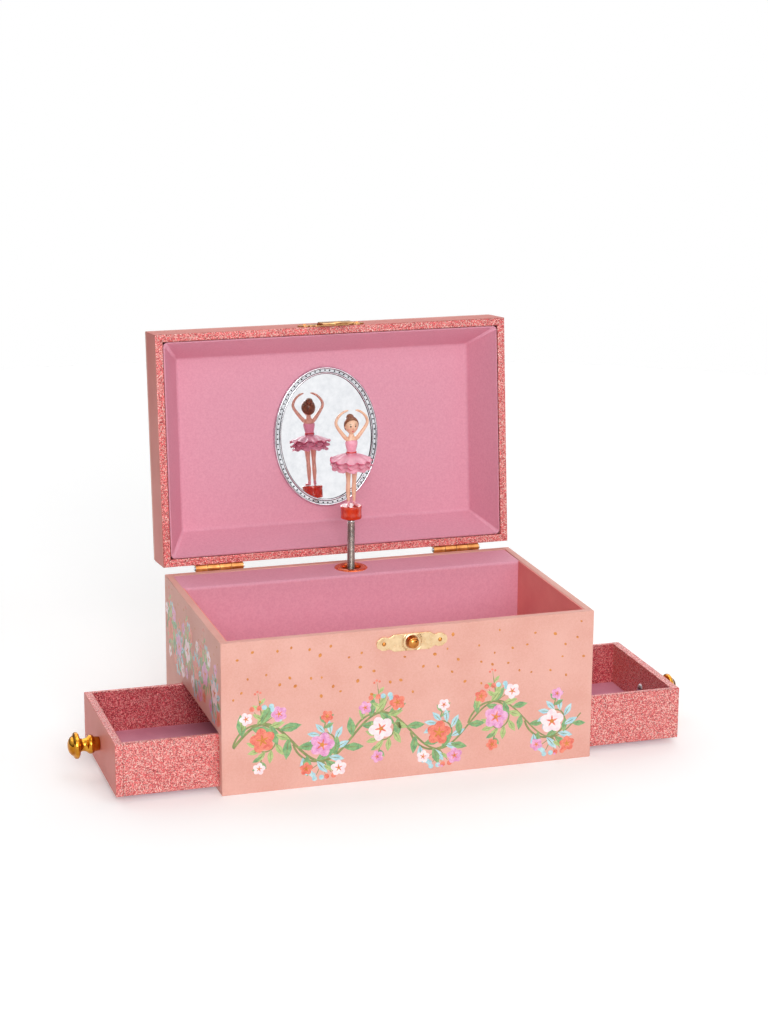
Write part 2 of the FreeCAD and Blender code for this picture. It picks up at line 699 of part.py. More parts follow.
def tray_outline(inset, height):
    """A rectangle inside the lid at one height."""
    points = [Vector(x, y, height) for x, y in lid_corners(inset)]
    return Part.makePolygon(points + [points[0]])


def lid_tray():
    """Card tray glued into the lid, with sides that slope in to a flat back."""
    edge = LID_WALL + TRAY_SIDE_GAP
    low = LID_RIM + TRAY_RECESS
    back_edge = edge + TRAY_TAPER
    outside = Part.makeLoft([tray_outline(edge, low), tray_outline(back_edge, LID_CEILING)], True, True)
    inside = Part.makeLoft(
        [tray_outline(edge + TRAY_CARD, low), tray_outline(back_edge + TRAY_CARD, TRAY_BACK)], True, True)
    return outside.cut(inside)


def oval(width, height, low, high):
    """An upright oval disc in the shut lid, its long axis running front to back."""
    centre = Vector(0, LID_MIDDLE_Y, low)
    ellipse = Part.Ellipse(centre.add(Y_AXIS * height * 0.5), centre.add(X_AXIS * width * 0.5), centre)
    return Part.Face(Part.Wire([ellipse.toShape()])).extrude(Z_AXIS * (high - low))


def mirror_frame():
    low = TRAY_BACK - MIRROR_FRAME_DEPTH
    ring = oval(MIRROR_WIDTH, MIRROR_HEIGHT, low, TRAY_BACK)
    sight = oval(MIRROR_WIDTH - 2 * MIRROR_RIM, MIRROR_HEIGHT - 2 * MIRROR_RIM, low, TRAY_BACK)
    seat_inset = 2 * (MIRROR_RIM - MIRROR_REBATE)
    seat_low = TRAY_BACK - MIRROR_GLASS - GLASS_GAP
    seat = oval(MIRROR_WIDTH - seat_inset, MIRROR_HEIGHT - seat_inset, seat_low, TRAY_BACK)
    return ring.cut([sight, seat])


def mirror_glass():
    inset = 2 * (MIRROR_RIM - MIRROR_REBATE + GLASS_GAP)
    return oval(MIRROR_WIDTH - inset, MIRROR_HEIGHT - inset, TRAY_BACK - MIRROR_GLASS, TRAY_BACK)


def lid_hasp():
    """Brass plate on the lid with a forked tongue that drops over the neck of the stud."""
    height = LID_RIM + HASP_RISE
    sheet = fancy_plate(LID_FRONT, height)
    back, front = LID_FRONT, LID_FRONT - LOCK_PLATE
    tip = LOCK_Z - HASP_TIP_REACH
    bend_low, bend_high = LID_RIM, height - LOCK_HEIGHT / 2 + LOCK_PLATE
    section = [
        (back, height), (front, height), (front, bend_high + HASP_TONGUE),
        (TONGUE_FRONT, bend_low + HASP_TONGUE), (TONGUE_FRONT, tip), (TONGUE_BACK, tip),
        (TONGUE_BACK, bend_low), (back, bend_high)]
    half = HASP_TONGUE_WIDTH / 2
    tongue = plate([Vector(-half, y, z) for y, z in section], X_AXIS * HASP_TONGUE_WIDTH)
    hasp = joined([sheet, tongue])
    notch = STUD_NECK_RADIUS + HASP_NOTCH_GAP
    slot_y = (TONGUE_FRONT, TONGUE_BACK)
    cuts = [
        block((-notch, notch), slot_y, (tip, LOCK_Z)),
        rod(notch, Vector(0, slot_y[0], LOCK_Z), Vector(0, slot_y[1], LOCK_Z))]
    cuts += [nail_hole(place, Y_AXIS) for place in hasp_nail_places()]
    return hasp.cut(cuts)


def lid_nails():
    nails = [nail(place, Y_AXIS) for place in hasp_nail_places()]
    nails += [nail(place, Y_AXIS.negative()) for place in lid_hinge_nail_places()]
    return group(nails)


def drawer_range(side, near, far):
    """A stretch along a pulled-out drawer, measured in from its outer face."""
    outer = HALF_WIDTH + DRAWER_PULL
    return sorted((side * (outer - near), side * (outer - far)))


def drawer_end_board(side):
    x_range = drawer_range(side, 0, DRAWER_END_BOARD)
    board = block(x_range, (DRAWER_FRONT_Y, DRAWER_BACK_Y), (DRAWER_BOTTOM, DRAWER_TOP))
    start, end = [Vector(x, KNOB_Y, KNOB_Z) for x in x_range]
    return board.cut(rod(KNOB_SCREW_RADIUS + DRIVEN_CLEARANCE, start, end))


def drawer_walls(side):
    """The two long sides and the inner end of a drawer, wrapped as one strip."""
    z_range = (DRAWER_BOTTOM, DRAWER_TOP)
    x_range = drawer_range(side, DRAWER_END_BOARD, DRAWER_LENGTH)
    outside = block(x_range, (DRAWER_FRONT_Y, DRAWER_BACK_Y), z_range)
    inside = block(
        drawer_range(side, DRAWER_END_BOARD, DRAWER_LENGTH - DRAWER_SIDE_BOARD),
        (DRAWER_FRONT_Y + DRAWER_SIDE_BOARD, DRAWER_BACK_Y - DRAWER_SIDE_BOARD), z_range)
    return outside.cut(inside)


def drawer_floor(side):
    return block(
        drawer_range(side, DRAWER_END_BOARD, DRAWER_LENGTH - DRAWER_SIDE_BOARD),
        (DRAWER_FRONT_Y + DRAWER_SIDE_BOARD, DRAWER_BACK_Y - DRAWER_SIDE_BOARD),
        (DRAWER_FLOOR_BOTTOM, DRAWER_FLOOR_BOTTOM + DRAWER_FLOOR))


def drawer_knob(side):
    """Turned knob: a tapered foot, a round collar, a waisted neck and a domed head, bored for its screw."""
    base = Vector(side * (HALF_WIDTH + DRAWER_PULL), KNOB_Y, KNOB_Z)
    collar_end = KNOB_FOOT_LENGTH + KNOB_COLLAR_LENGTH
    collar_middle = KNOB_FOOT_LENGTH + KNOB_COLLAR_LENGTH / 2
    head_start = KNOB_LENGTH - KNOB_HEAD_LENGTH
    neck_middle = (collar_end + head_start) / 2
    edge_middle = head_start + KNOB_HEAD_EDGE
    edge_end = edge_middle + KNOB_HEAD_EDGE
    edge_radius = KNOB_HEAD_RADIUS - KNOB_HEAD_EDGE
    bore = KNOB_SCREW_RADIUS + DRIVEN_CLEARANCE
    bore_depth = KNOB_SCREW_REACH + DRIVEN_CLEARANCE
    steps = [
        (KNOB_FOOT_RADIUS, 0), (KNOB_NECK_RADIUS, KNOB_FOOT_LENGTH),
        ((KNOB_COLLAR_RADIUS, collar_middle), (KNOB_NECK_RADIUS, collar_end)),
        ((KNOB_WAIST_RADIUS, neck_middle), (KNOB_NECK_RADIUS, head_start)),
        (edge_radius, head_start), ((KNOB_HEAD_RADIUS, edge_middle), (edge_radius, edge_end)),
        dome(edge_radius, edge_end, KNOB_LENGTH), (0, bore_depth), (bore, bore_depth)]
    return turned((bore, 0), steps, base, X_AXIS * side)


def drawer_knob_screw(side):
    """Pan-head screw from inside the drawer into the knob."""
    inner = Vector(side * (HALF_WIDTH + DRAWER_PULL - DRAWER_END_BOARD), KNOB_Y, KNOB_Z)
    length = DRAWER_END_BOARD + KNOB_SCREW_REACH
    steps = [
        (KNOB_SCREW_RADIUS, -length), (KNOB_SCREW_RADIUS, 0), (KNOB_SCREW_HEAD_RADIUS, 0),
        dome(KNOB_SCREW_HEAD_RADIUS, 0, KNOB_SCREW_HEAD)]
    return turned((0, -length), steps, inner, X_AXIS * -side)


def arc_from(start, direction, end):
    """The arc that leaves start along direction and reaches end."""
    chord = end.sub(start)
    along = Vector(chord).normalize()
    side = direction.sub(along * direction.dot(along))
    angle = math.atan2(side.Length, direction.dot(along))
    rise = chord.Length / 2 * math.tan(angle / 2)
    middle = start.add(chord * 0.5).add(Vector(side).normalize() * rise)
    return Part.Arc(start, middle, end).toShape()


def biarc(start, start_direction, end, end_direction):
    """Two arcs that join two points along the directions given at them."""
    gap = end.sub(start)
    both = start_direction.add(end_direction)
    square = 2 * (1 - start_direction.dot(end_direction))
    reach = -gap.dot(both)
    length = (reach + math.sqrt(reach * reach + square * gap.dot(gap))) / square
    meeting = start.add(start_direction * length).add(end.sub(end_direction * length)) * 0.5
    first = arc_from(start, start_direction, meeting)
    towards = end.sub(end_direction * length).sub(meeting).normalize()
    return [first, arc_from(meeting, towards, end)]


def spring_path():
    """Centre line of the spring: a short upright end, the turns, and another upright end."""
    axis = Vector(SPINDLE_X, SPINDLE_Y, 0)
    low = SPRING_FOOT + SPRING_WIRE + SPRING_BEND
    high = SPRING_TOP - SPRING_WIRE - SPRING_BEND
    half_turns = 2 * int((high - low) / (SPRING_WIRE + SPRING_GAP))
    climb = (high - low) / (half_turns * math.pi)
    slope = math.sqrt(SPRING_RADIUS ** 2 + climb ** 2)

    def place(angle):
        return axis.add(Vector(
            SPRING_RADIUS * math.cos(angle), SPRING_RADIUS * math.sin(angle), low + climb * angle))

    def heading(angle):
        return Vector(-SPRING_RADIUS * math.sin(angle), SPRING_RADIUS * math.cos(angle), climb) * (1 / slope)

    last = half_turns * math.pi
    foot_end = place(0).sub(heading(0) * SPRING_BEND).sub(Z_AXIS * SPRING_BEND)
    head_start = place(last).add(heading(last) * SPRING_BEND).add(Z_AXIS * SPRING_BEND)
    foot = Vector(foot_end.x, foot_end.y, SPRING_FOOT)
    head = Vector(head_start.x, head_start.y, SPRING_TOP)
    edges = [Part.LineSegment(foot, foot_end).toShape()]
    edges += biarc(foot_end, Z_AXIS, place(0), heading(0))
    for turn in range(half_turns):
        start, end = turn * math.pi, (turn + 1) * math.pi
        edges += biarc(place(start), heading(start), place(end), heading(end))
    edges += biarc(place(last), heading(last), head_start, Z_AXIS)
    edges.append(Part.LineSegment(head_start, head).toShape())
    return Part.Wire(edges), foot


def least_gap(path, step):
    """The smallest gap between stretches of the wire that lie more than half a turn apart."""
    points = path.discretize(Distance=step)
    apart = int(math.pi * SPRING_RADIUS / step)
    least = min(
        points[first].distanceToPoint(points[second])
        for first in range(len(points))
        for second in range(first + apart, min(first + 4 * apart, len(points))))
    return least - SPRING_WIRE


def dancer_spring():
    path, foot = spring_path()
    section = Part.Wire([Part.Circle(foot, Z_AXIS, SPRING_WIRE / 2).toShape()])
    tube = path.makePipeShell([section], True, False)
    section_area = math.pi * (SPRING_WIRE / 2) ** 2
    print("spring: least gap %.3f mm" % least_gap(path, SPRING_WIRE / 4))
    print("spring: volume over section times length %.4f" % (tube.Volume / (section_area * path.Length)))
    return tube


def spring_cap():
    """Rounded cap on the spring with a pin that carries the plug."""
    base = Vector(SPINDLE_X, SPINDLE_Y, SPRING_TOP)
    outer = SPRING_RADIUS + SPRING_WIRE / 2
    steps = [(outer, 0), (outer, CAP_SKIRT), dome(outer, CAP_SKIRT, CAP_SKIRT + CAP_DOME)]
    cap = turned((0, 0), steps, base, Z_AXIS)
    pin_length = CAP_SKIRT + CAP_DOME + CAP_PIN_SHOW + CAP_PIN_REACH
    return joined([cap, rod(CAP_PIN_RADIUS, base, base.add(Z_AXIS * pin_length))])


def dancer_plug():
    bottom = Vector(SPINDLE_X, SPINDLE_Y, PLUG_BOTTOM)
    plug = rod(PLUG_RADIUS, bottom, bottom.add(Z_AXIS * PLUG_HEIGHT))
    bore = rod(
        CAP_PIN_RADIUS + CAP_PIN_CLEARANCE, bottom, bottom.add(Z_AXIS * (CAP_PIN_REACH + CAP_PIN_CLEARANCE)))
    return plug.cut(bore)


def on_figure(x, y, z):
    """A point on the dancer, from the middle of the top of the plug."""
    return Vector(SPINDLE_X + x, SPINDLE_Y + y, PLUG_TOP + z)


def limb(start, start_radius, end, end_radius):
    """A tapered limb between two joints."""
    along = end.sub(start)
    return Part.makeCone(start_radius, end_radius, along.Length, start, along)


def joint_ball(centre, limb_radius):
    """The rounding of an elbow, heel or fingertip, a little fuller than the limb there."""
    return Part.makeSphere(limb_radius * JOINT_SWELL, centre)


def oval_wire(width, depth, height):
    """A level oval round the dancer's axis."""
    ellipse = Part.Ellipse(on_figure(0, 0, height), width / 2, depth / 2)
    return Part.Wire([ellipse.toShape()])


def egg(centre, width, height):
    """A round form that is taller than wide."""
    ellipse = Part.Ellipse(centre.add(Z_AXIS * height * 0.5), centre.add(X_AXIS * width * 0.5), centre)
    half = Part.ArcOfEllipse(ellipse, 0, math.pi).toShape()
    axis = Part.LineSegment(centre.sub(Z_AXIS * height * 0.5), centre.add(Z_AXIS * height * 0.5)).toShape()
    return Part.Face(Part.Wire([half, axis])).revolve(centre, Z_AXIS, 360)


def dancer_figure():
    """Generic dancer standing with feet together and arms rounded over the head."""
    shapes = []
    for side in (-1, 1):
        heel = on_figure(side * FOOT_SPREAD, 0, HEEL_RADIUS - FOOT_SINK)
        hip = on_figure(side * HIP_SPREAD, 0, TUTU_TOP_HEIGHT - TUTU_HUB / 2)
        toe = on_figure(side * (FOOT_SPREAD + FOOT_TURN_OUT), -FOOT_LENGTH, TOE_RADIUS - FOOT_SINK)
        shapes += [limb(heel, ANKLE_RADIUS, hip, THIGH_RADIUS), limb(heel, HEEL_RADIUS, toe, TOE_RADIUS)]
        shapes += [joint_ball(heel, HEEL_RADIUS), joint_ball(toe, TOE_RADIUS)]
        shoulder = on_figure(side * (SHOULDER_WIDTH / 2 - ARM_RADIUS), 0, SHOULDER_HEIGHT - ARM_RADIUS)
        elbow = on_figure(side * ELBOW_REACH, 0, ELBOW_HEIGHT)
        hand = on_figure(side * HAND_REACH, 0, HAND_HEIGHT)
        shapes.append(limb(shoulder, UPPER_ARM_RADIUS, elbow, ARM_RADIUS))
        shapes.append(limb(elbow, ARM_RADIUS, hand, HAND_RADIUS))
        shapes += [joint_ball(shoulder, UPPER_ARM_RADIUS), joint_ball(elbow, ARM_RADIUS)]
        shapes.append(joint_ball(hand, HAND_RADIUS))
    bust_height = (WAIST_HEIGHT + SHOULDER_HEIGHT) / 2
    widths = [
        (HIP_WIDTH, HIP_HEIGHT), (WAIST_WIDTH, WAIST_HEIGHT), (BUST_WIDTH, bust_height),
        (SHOULDER_WIDTH - 2 * ARM_RADIUS, SHOULDER_HEIGHT)]
    rings = [oval_wire(width, width * TORSO_FLATNESS, height) for width, height in widths]
    shapes.append(Part.makeLoft(rings, True, False))
    head_centre = on_figure(0, 0, HEAD_CENTRE_HEIGHT)
    shapes.append(rod(NECK_RADIUS, on_figure(0, 0, SHOULDER_HEIGHT - NECK_RADIUS), head_centre))
    shapes.append(egg(head_centre, HEAD_WIDTH, HEAD_HEIGHT))
    shapes.append(Part.makeSphere(BUN_RADIUS, on_figure(0, BUN_BACK, BUN_HEIGHT)))
    yoke_low, yoke_high = on_figure(0, 0, TUTU_TOP_HEIGHT - TUTU_HUB), on_figure(0, 0, TUTU_TOP_HEIGHT)
    shapes.append(rod(TUTU_HUB_RADIUS, yoke_low, yoke_high))
    under_feet = rod(PLUG_RADIUS, on_figure(0, 0, -PLUG_HEIGHT), on_figure(0, 0, 0))
    return joined(shapes).cut(under_feet)


def dancer_tutu():
    """Flared skirt round the hips."""
    rim_height = TUTU_TOP_HEIGHT - TUTU_DROOP
    hub_low = TUTU_TOP_HEIGHT - TUTU_HUB
    hem_low = rim_height - TUTU_HEM
    middle = (TUTU_HUB_RADIUS + TUTU_RADIUS) / 2
    flare = ((middle, (TUTU_TOP_HEIGHT + rim_height) / 2 + TUTU_CROWN), (TUTU_RADIUS, rim_height))
    under = ((middle, (hub_low + hem_low) / 2 + TUTU_HOLLOW), (TUTU_HUB_RADIUS, hub_low))
    steps = [flare, (TUTU_RADIUS, hem_low), under]
    return turned((TUTU_HUB_RADIUS, TUTU_TOP_HEIGHT), steps, on_figure(0, 0, 0), Z_AXIS)


def spur_gear(teeth, module, centre, face, tooth_angle):
    """A straight-toothed gear about an upright axis, one tooth pointing along tooth_angle."""
    pitch_radius = module * teeth / 2
    tip, root = pitch_radius + TOOTH_TIP * module, pitch_radius - TOOTH_ROOT * module
    half_pitch = math.pi / teeth
    points = []
    for tooth in range(teeth):
        middle = math.radians(tooth_angle) + 2 * half_pitch * tooth
        corners = [(root, -ROOT_SHARE), (tip, -TIP_SHARE), (tip, TIP_SHARE), (root, ROOT_SHARE)]
        for radius, share in corners:
            angle = middle + share * half_pitch
            points.append(centre.add(Vector(radius * math.cos(angle), radius * math.sin(angle), 0)))
    return plate(points, Z_AXIS * face)


def movement_bedplate():
    """Cast plate on the back of the well, with an arm below and above the train and a comb step."""
    low = BASE_BOARD + BEDPLATE_FLOOR_GAP
    high = UPPER_ARM + ARM_PLATE
    sheet = block(
        (SPINDLE_X - BEDPLATE_LEFT, SPINDLE_X + BEDPLATE_RIGHT), (BEDPLATE_FRONT, INNER_Y), (low, high))
    shapes = [sheet]
    for height in (LOWER_ARM, UPPER_ARM):
        shapes.append(block(
            (SPINDLE_X - ARM_LEFT, SPINDLE_X + ARM_RIGHT), (BEDPLATE_FRONT - ARM_REACH, INNER_Y),
            (height, height + ARM_PLATE)))
    shapes.append(block(
        (COMB_ROOT_X, COMB_ROOT_X + COMB_ROOT), (COMB_BACK, INNER_Y), (COMB_BOTTOM, COMB_TOP)))
    bush_front, bush_back = [Vector(SPINDLE_X, y, KEY_Z) for y in (BEDPLATE_FRONT, INNER_Y)]
    holes = [rod(BUSH_RADIUS + WINDING_FIT, bush_front, bush_back)]
    for x in (SPINDLE_X, TRAIN_X, FLY_X):
        holes.append(rod(
            ARBOR_RADIUS + ARBOR_CLEARANCE, Vector(x, SPINDLE_Y, LOWER_ARM),
            Vector(x, SPINDLE_Y, UPPER_ARM + ARM_PLATE)))
    holes += [screw_hole(place) for place in bedplate_screw_places() + comb_screw_places()]
    return joined(shapes).cut(holes)


def tone_comb():
    """Steel comb whose tips stand just clear of the cylinder's pins."""
    front = COMB_BACK - COMB_PLATE
    points = [Vector(COMB_ROOT_X + COMB_ROOT, front, z) for z in (COMB_TOP, COMB_BOTTOM)]
    points.append(Vector(COMB_ROOT_X, front, COMB_BOTTOM))
    for tooth in range(COMB_TEETH):
        low = COMB_BOTTOM + COMB_END_MARGIN + tooth * COMB_TOOTH_PITCH
        high = low + COMB_TOOTH_WIDTH
        points += [Vector(x, front, z) for x, z in (
            (COMB_ROOT_X, low), (COMB_TIP_X, low), (COMB_TIP_X, high), (COMB_ROOT_X, high))]
    points.append(Vector(COMB_ROOT_X, front, COMB_TOP))
    comb = plate(points, Y_AXIS * COMB_PLATE)
    return comb.cut([screw_hole(place) for place in comb_screw_places()])


def movement_screws():
    return group([screw(place) for place in bedplate_screw_places() + comb_screw_places()])


def tune_cylinder():
    """Hollow brass cylinder with a track of pins for each tooth of the comb."""
    bottom, top = Vector(SPINDLE_X, SPINDLE_Y, DRUM_BOTTOM), Vector(SPINDLE_X, SPINDLE_Y, DRUM_TOP)
    drum = rod(DRUM_RADIUS, bottom, top)
    pins = []
    for track in range(COMB_TEETH):
        height = COMB_BOTTOM + COMB_END_MARGIN + COMB_TOOTH_WIDTH / 2 + track * COMB_TOOTH_PITCH
        for count in range(TUNE_PINS_PER_TRACK):
            angle = math.radians(TUNE_PIN_STEP_ANGLE * (track * TUNE_PINS_PER_TRACK + count))
            outward = Vector(math.cos(angle), math.sin(angle), 0)
            centre = Vector(SPINDLE_X, SPINDLE_Y, height)
            root = centre.add(outward * (DRUM_RADIUS - TUNE_PIN_HEIGHT))
            pins.append(rod(TUNE_PIN_RADIUS, root, centre.add(outward * (DRUM_RADIUS + TUNE_PIN_HEIGHT))))
    bore = rod(ARBOR_RADIUS + DRUM_FIT, bottom, top)
    return drum.multiFuse(pins).cut(bore)


def cylinder_arbor():
    """Upright arbor: contrate pinion at the foot, first wheel above the cylinder, spring flange on top."""
    foot = Vector(SPINDLE_X, SPINDLE_Y, DRUM_PINION_Z)
    head = Vector(SPINDLE_X, SPINDLE_Y, SPRING_FOOT)
    shapes = [rod(ARBOR_RADIUS, foot, head)]
    shapes.append(spur_gear(DRUM_PINION_TEETH, CONTRATE_MODULE, foot, CONTRATE_FACE, 90))
    shapes.append(spur_gear(
        WHEEL_TEETH, TRAIN_MODULE, Vector(SPINDLE_X, SPINDLE_Y, WHEEL_Z), WHEEL_FACE, 180))
    shapes.append(rod(SPINDLE_FLANGE_RADIUS, head.sub(Z_AXIS * SPINDLE_FLANGE), head))
    return joined(shapes)


def train_wheel():
    """Second wheel of the train and the pinion that the cylinder's wheel drives."""
    foot = Vector(TRAIN_X, SPINDLE_Y, LOWER_ARM)
    half_tooth = 180 / PINION_TEETH
    driven, driving = [Vector(TRAIN_X, SPINDLE_Y, z) for z in (WHEEL_Z, TRAIN_WHEEL_Z)]
    pinion = spur_gear(PINION_TEETH, TRAIN_MODULE, driven, PINION_FACE, half_tooth)
    wheel = spur_gear(WHEEL_TEETH, TRAIN_MODULE, driving, WHEEL_FACE, 180)
    arbor = rod(ARBOR_RADIUS, foot, Vector(TRAIN_X, SPINDLE_Y, UPPER_ARM + ARM_PLATE))
    return joined([arbor, pinion, wheel])


def governor_fly():
    """Two-vaned air brake on the last arbor."""
    foot = Vector(FLY_X, SPINDLE_Y, LOWER_ARM)
    half_tooth = 180 / PINION_TEETH
    driven = Vector(FLY_X, SPINDLE_Y, TRAIN_WHEEL_Z)
    pinion = spur_gear(PINION_TEETH, TRAIN_MODULE, driven, PINION_FACE, half_tooth)
    arbor = rod(ARBOR_RADIUS, foot, Vector(FLY_X, SPINDLE_Y, UPPER_ARM + ARM_PLATE))
    low = (DRUM_BOTTOM + DRUM_TOP - FLY_HEIGHT) / 2
    vane = block(
        (FLY_X - FLY_RADIUS, FLY_X + FLY_RADIUS), (SPINDLE_Y - FLY_VANE / 2, SPINDLE_Y + FLY_VANE / 2),
        (low, low + FLY_HEIGHT))
    return joined([arbor, pinion, vane])


def winding_barrel():
    """Drum that holds the mainspring, with contrate teeth on the rim of its flange."""
    web_back = CONTRATE_ROOT_Y + CONTRATE_WEB
    axis = [Vector(SPINDLE_X, y, KEY_Z) for y in (BARREL_FRONT, CONTRATE_ROOT_Y, web_back)]
    shapes = [rod(BARREL_RADIUS, axis[0], axis[2]), rod(CONTRATE_OUTER, axis[1], axis[2])]
    half_root = ROOT_SHARE * CONTRATE_TOOTH * math.pi * CONTRATE_MODULE / 2
    half_tip = TIP_SHARE * math.pi * CONTRATE_MODULE / 2
    inner, outer = CONTRATE_RADIUS - CONTRATE_FACE / 2, CONTRATE_OUTER
    for tooth in range(CONTRATE_TEETH):
        angle = 360 * (tooth + 0.5) / CONTRATE_TEETH
        section = [
            (-half_root, web_back), (-half_root, CONTRATE_ROOT_Y), (-half_tip, CONTRATE_TIP_Y),
            (half_tip, CONTRATE_TIP_Y), (half_root, CONTRATE_ROOT_Y), (half_root, web_back)]
        points = [Vector(SPINDLE_X + x, y, KEY_Z + inner) for x, y in section]
        wedge = plate(points, Z_AXIS * (outer - inner))
        wedge.rotate(Vector(SPINDLE_X, 0, KEY_Z), Y_AXIS, angle)
        shapes.append(wedge.common(rod(CONTRATE_OUTER, axis[0], axis[2])))
    hollow = rod(
        BARREL_RADIUS - BARREL_WALL, axis[0].add(Y_AXIS * BARREL_WALL), axis[1].sub(Y_AXIS * BARREL_WALL))
    bore = rod(WINDING_RADIUS + WINDING_FIT, axis[0], axis[2])
    return joined(shapes).cut([hollow, bore])


def mainspring():
    """Flat spiral strip inside the barrel, of half circles that grow outwards."""
    front = BARREL_FRONT + BARREL_WALL + MAINSPRING_END_GAP
    back = CONTRATE_ROOT_Y - BARREL_WALL - MAINSPRING_END_GAP
    radius = WINDING_RADIUS + MAINSPRING_STEP
    centre_x = SPINDLE_X
    inner, outer = [], []
    for half in range(2 * MAINSPRING_TURNS):
        up = 1 if half % 2 == 0 else -1
        for edges, reach in ((inner, radius), (outer, radius + MAINSPRING_STRIP)):
            start = Vector(centre_x - up * reach, front, KEY_Z)
            middle = Vector(centre_x, front, KEY_Z + up * reach)
            end = Vector(centre_x + up * reach, front, KEY_Z)
            edges.append(Part.Arc(start, middle, end).toShape())
        centre_x -= up * MAINSPRING_STEP / 2
        radius += MAINSPRING_STEP / 2
    ends = [
        Part.LineSegment(outer[0].Vertexes[0].Point, inner[0].Vertexes[0].Point).toShape(),
        Part.LineSegment(inner[-1].Vertexes[-1].Point, outer[-1].Vertexes[-1].Point).toShape()]
    outline = Part.Wire(Part.__sortEdges__(inner + outer + ends))
    return Part.Face(outline).extrude(Y_AXIS * (back - front))


def winding_arbor():
    end = KEY_FRONT + KEY_SOCKET
    return rod(WINDING_RADIUS, Vector(SPINDLE_X, BARREL_FRONT, KEY_Z), Vector(SPINDLE_X, end, KEY_Z))


def winding_bush():
    """Bearing for the winding arbor through the back, with a flange outside."""
    front = BEDPLATE_FRONT - INNER_Y
    inner = WINDING_RADIUS + BUSH_CLEARANCE
    outside = HALF_DEPTH - INNER_Y
    steps = [
        (BUSH_RADIUS, front), (BUSH_RADIUS, outside), (BUSH_FLANGE_RADIUS, outside),
        (BUSH_FLANGE_RADIUS, outside + BUSH_FLANGE), (inner, outside + BUSH_FLANGE)]
    return turned((inner, front), steps, Vector(SPINDLE_X, INNER_Y, KEY_Z), Y_AXIS)


def winding_key():
    """Butterfly key: a round boss and two wings."""
    start = Vector(SPINDLE_X, KEY_FRONT, KEY_Z)
    boss = rod(KEY_BOSS_RADIUS, start, start.add(Y_AXIS * KEY_BOSS_LENGTH))
    half = KEY_PLATE / 2
    wing_y = KEY_BACK - KEY_WING_RADIUS
    shapes = [boss]
    for side in (-1, 1):
        centre = Vector(SPINDLE_X + side * KEY_WING_SPREAD, wing_y, KEY_Z)
        shapes.append(rod(KEY_WING_RADIUS, centre.sub(Z_AXIS * half), centre.add(Z_AXIS * half)))
    shapes.append(block(
        (SPINDLE_X - KEY_BOSS_RADIUS, SPINDLE_X + KEY_BOSS_RADIUS),
        (KEY_FRONT + KEY_BOSS_LENGTH - KEY_PLATE, wing_y), (KEY_Z - half, KEY_Z + half)))
    socket = rod(WINDING_RADIUS + WINDING_FIT, start, start.add(Y_AXIS * (KEY_SOCKET + WINDING_FIT)))
    return joined(shapes).cut(socket)


def lid_pieces():
    """Every piece of the lid, standing open."""
    hasp_holes = [nail_hole(place, Y_AXIS) for place in hasp_nail_places()]
    hinge_holes = [nail_hole(place, Y_AXIS.negative()) for place in lid_hinge_nail_places()]
    shut = {
        "lid_top_board": lid_top_board(),
        "lid_front_wall": lid_wall(0, hasp_holes),
        "lid_right_wall": lid_wall(1, []),
        "lid_back_wall": lid_wall(2, hinge_holes),
        "lid_left_wall": lid_wall(3, []),
        "lid_tray": lid_tray(),
        "mirror_frame": mirror_frame(),
        "mirror_glass": mirror_glass(),
        "lid_hasp": lid_hasp(),
        "lid_nails": lid_nails(),
        "hinge_leaf_lid_left": hinge_leaf(-1, True),
        "hinge_leaf_lid_right": hinge_leaf(1, True),
    }
    return {name: opened(shape) for name, shape in shut.items()}


def drawer_pieces():
    """Every piece of both drawers, part way out."""
    pieces = {}
    for name, side in (("left", -1), ("right", 1)):
        pieces["drawer_%s_end_board" % name] = drawer_end_board(side)
        pieces["drawer_%s_walls" % name] = drawer_walls(side)
        pieces["drawer_%s_floor" % name] = drawer_floor(side)
        pieces["drawer_%s_knob" % name] = drawer_knob(side)
        pieces["drawer_%s_knob_screw" % name] = drawer_knob_screw(side)
    return pieces


def case_pieces():
    """Every fixed piece of the case, the lock and the hinges."""
    return {
        "base_board": base_board(),
        "front_panel": front_panel(),
        "back_panel": back_panel(),
        "left_side_panel": side_panel(-1),
        "right_side_panel": side_panel(1),
        "drawer_front_rail": drawer_front_rail(),
        "drawer_rear_rail": drawer_rear_rail(),
        "drawer_divider": drawer_divider(),
        "compartment_deck": compartment_deck(),
        "well_partition": well_partition(),
        "ledge_top": ledge_top(),
        "compartment_lining": compartment_lining(),
        "compartment_floor_pad": compartment_floor_pad(),
        "spindle_ring": spindle_ring(),
        "lock_plate": lock_plate(),
        "lock_stud": lock_stud(),
        "box_nails": box_nails(),
        "hinge_leaf_body_left": hinge_leaf(-1, False),
        "hinge_leaf_body_right": hinge_leaf(1, False),
        "hinge_pins": hinge_pins(),
    }


def movement_pieces():
    """Every piece of the musical movement."""
    return {
        "movement_bedplate": movement_bedplate(),
        "tone_comb": tone_comb(),
        "movement_screws": movement_screws(),
        "tune_cylinder": tune_cylinder(),
        "cylinder_arbor": cylinder_arbor(),
        "train_wheel": train_wheel(),
        "governor_fly": governor_fly(),
        "winding_barrel": winding_barrel(),
        "mainspring": mainspring(),
        "winding_arbor": winding_arbor(),
        "winding_bush": winding_bush(),
        "winding_key": winding_key(),
    }


def dancer_pieces():
    """The dancer and what carries it above the ledge."""
    return {
        "dancer_spring": dancer_spring(),
        "spring_cap": spring_cap(),
        "dancer_plug": dancer_plug(),
        "dancer_figure": dancer_figure(),
        "dancer_tutu": dancer_tutu(),
    }


os.makedirs("parts", exist_ok=True)
for pieces in (case_pieces(), lid_pieces(), drawer_pieces(), movement_pieces(), dancer_pieces()):
    for name, shape in pieces.items():
        shape.exportStep("parts/%s.step" % name)
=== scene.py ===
import bmesh
import bpy
import math
import random
from mathutils import Matrix, Vector


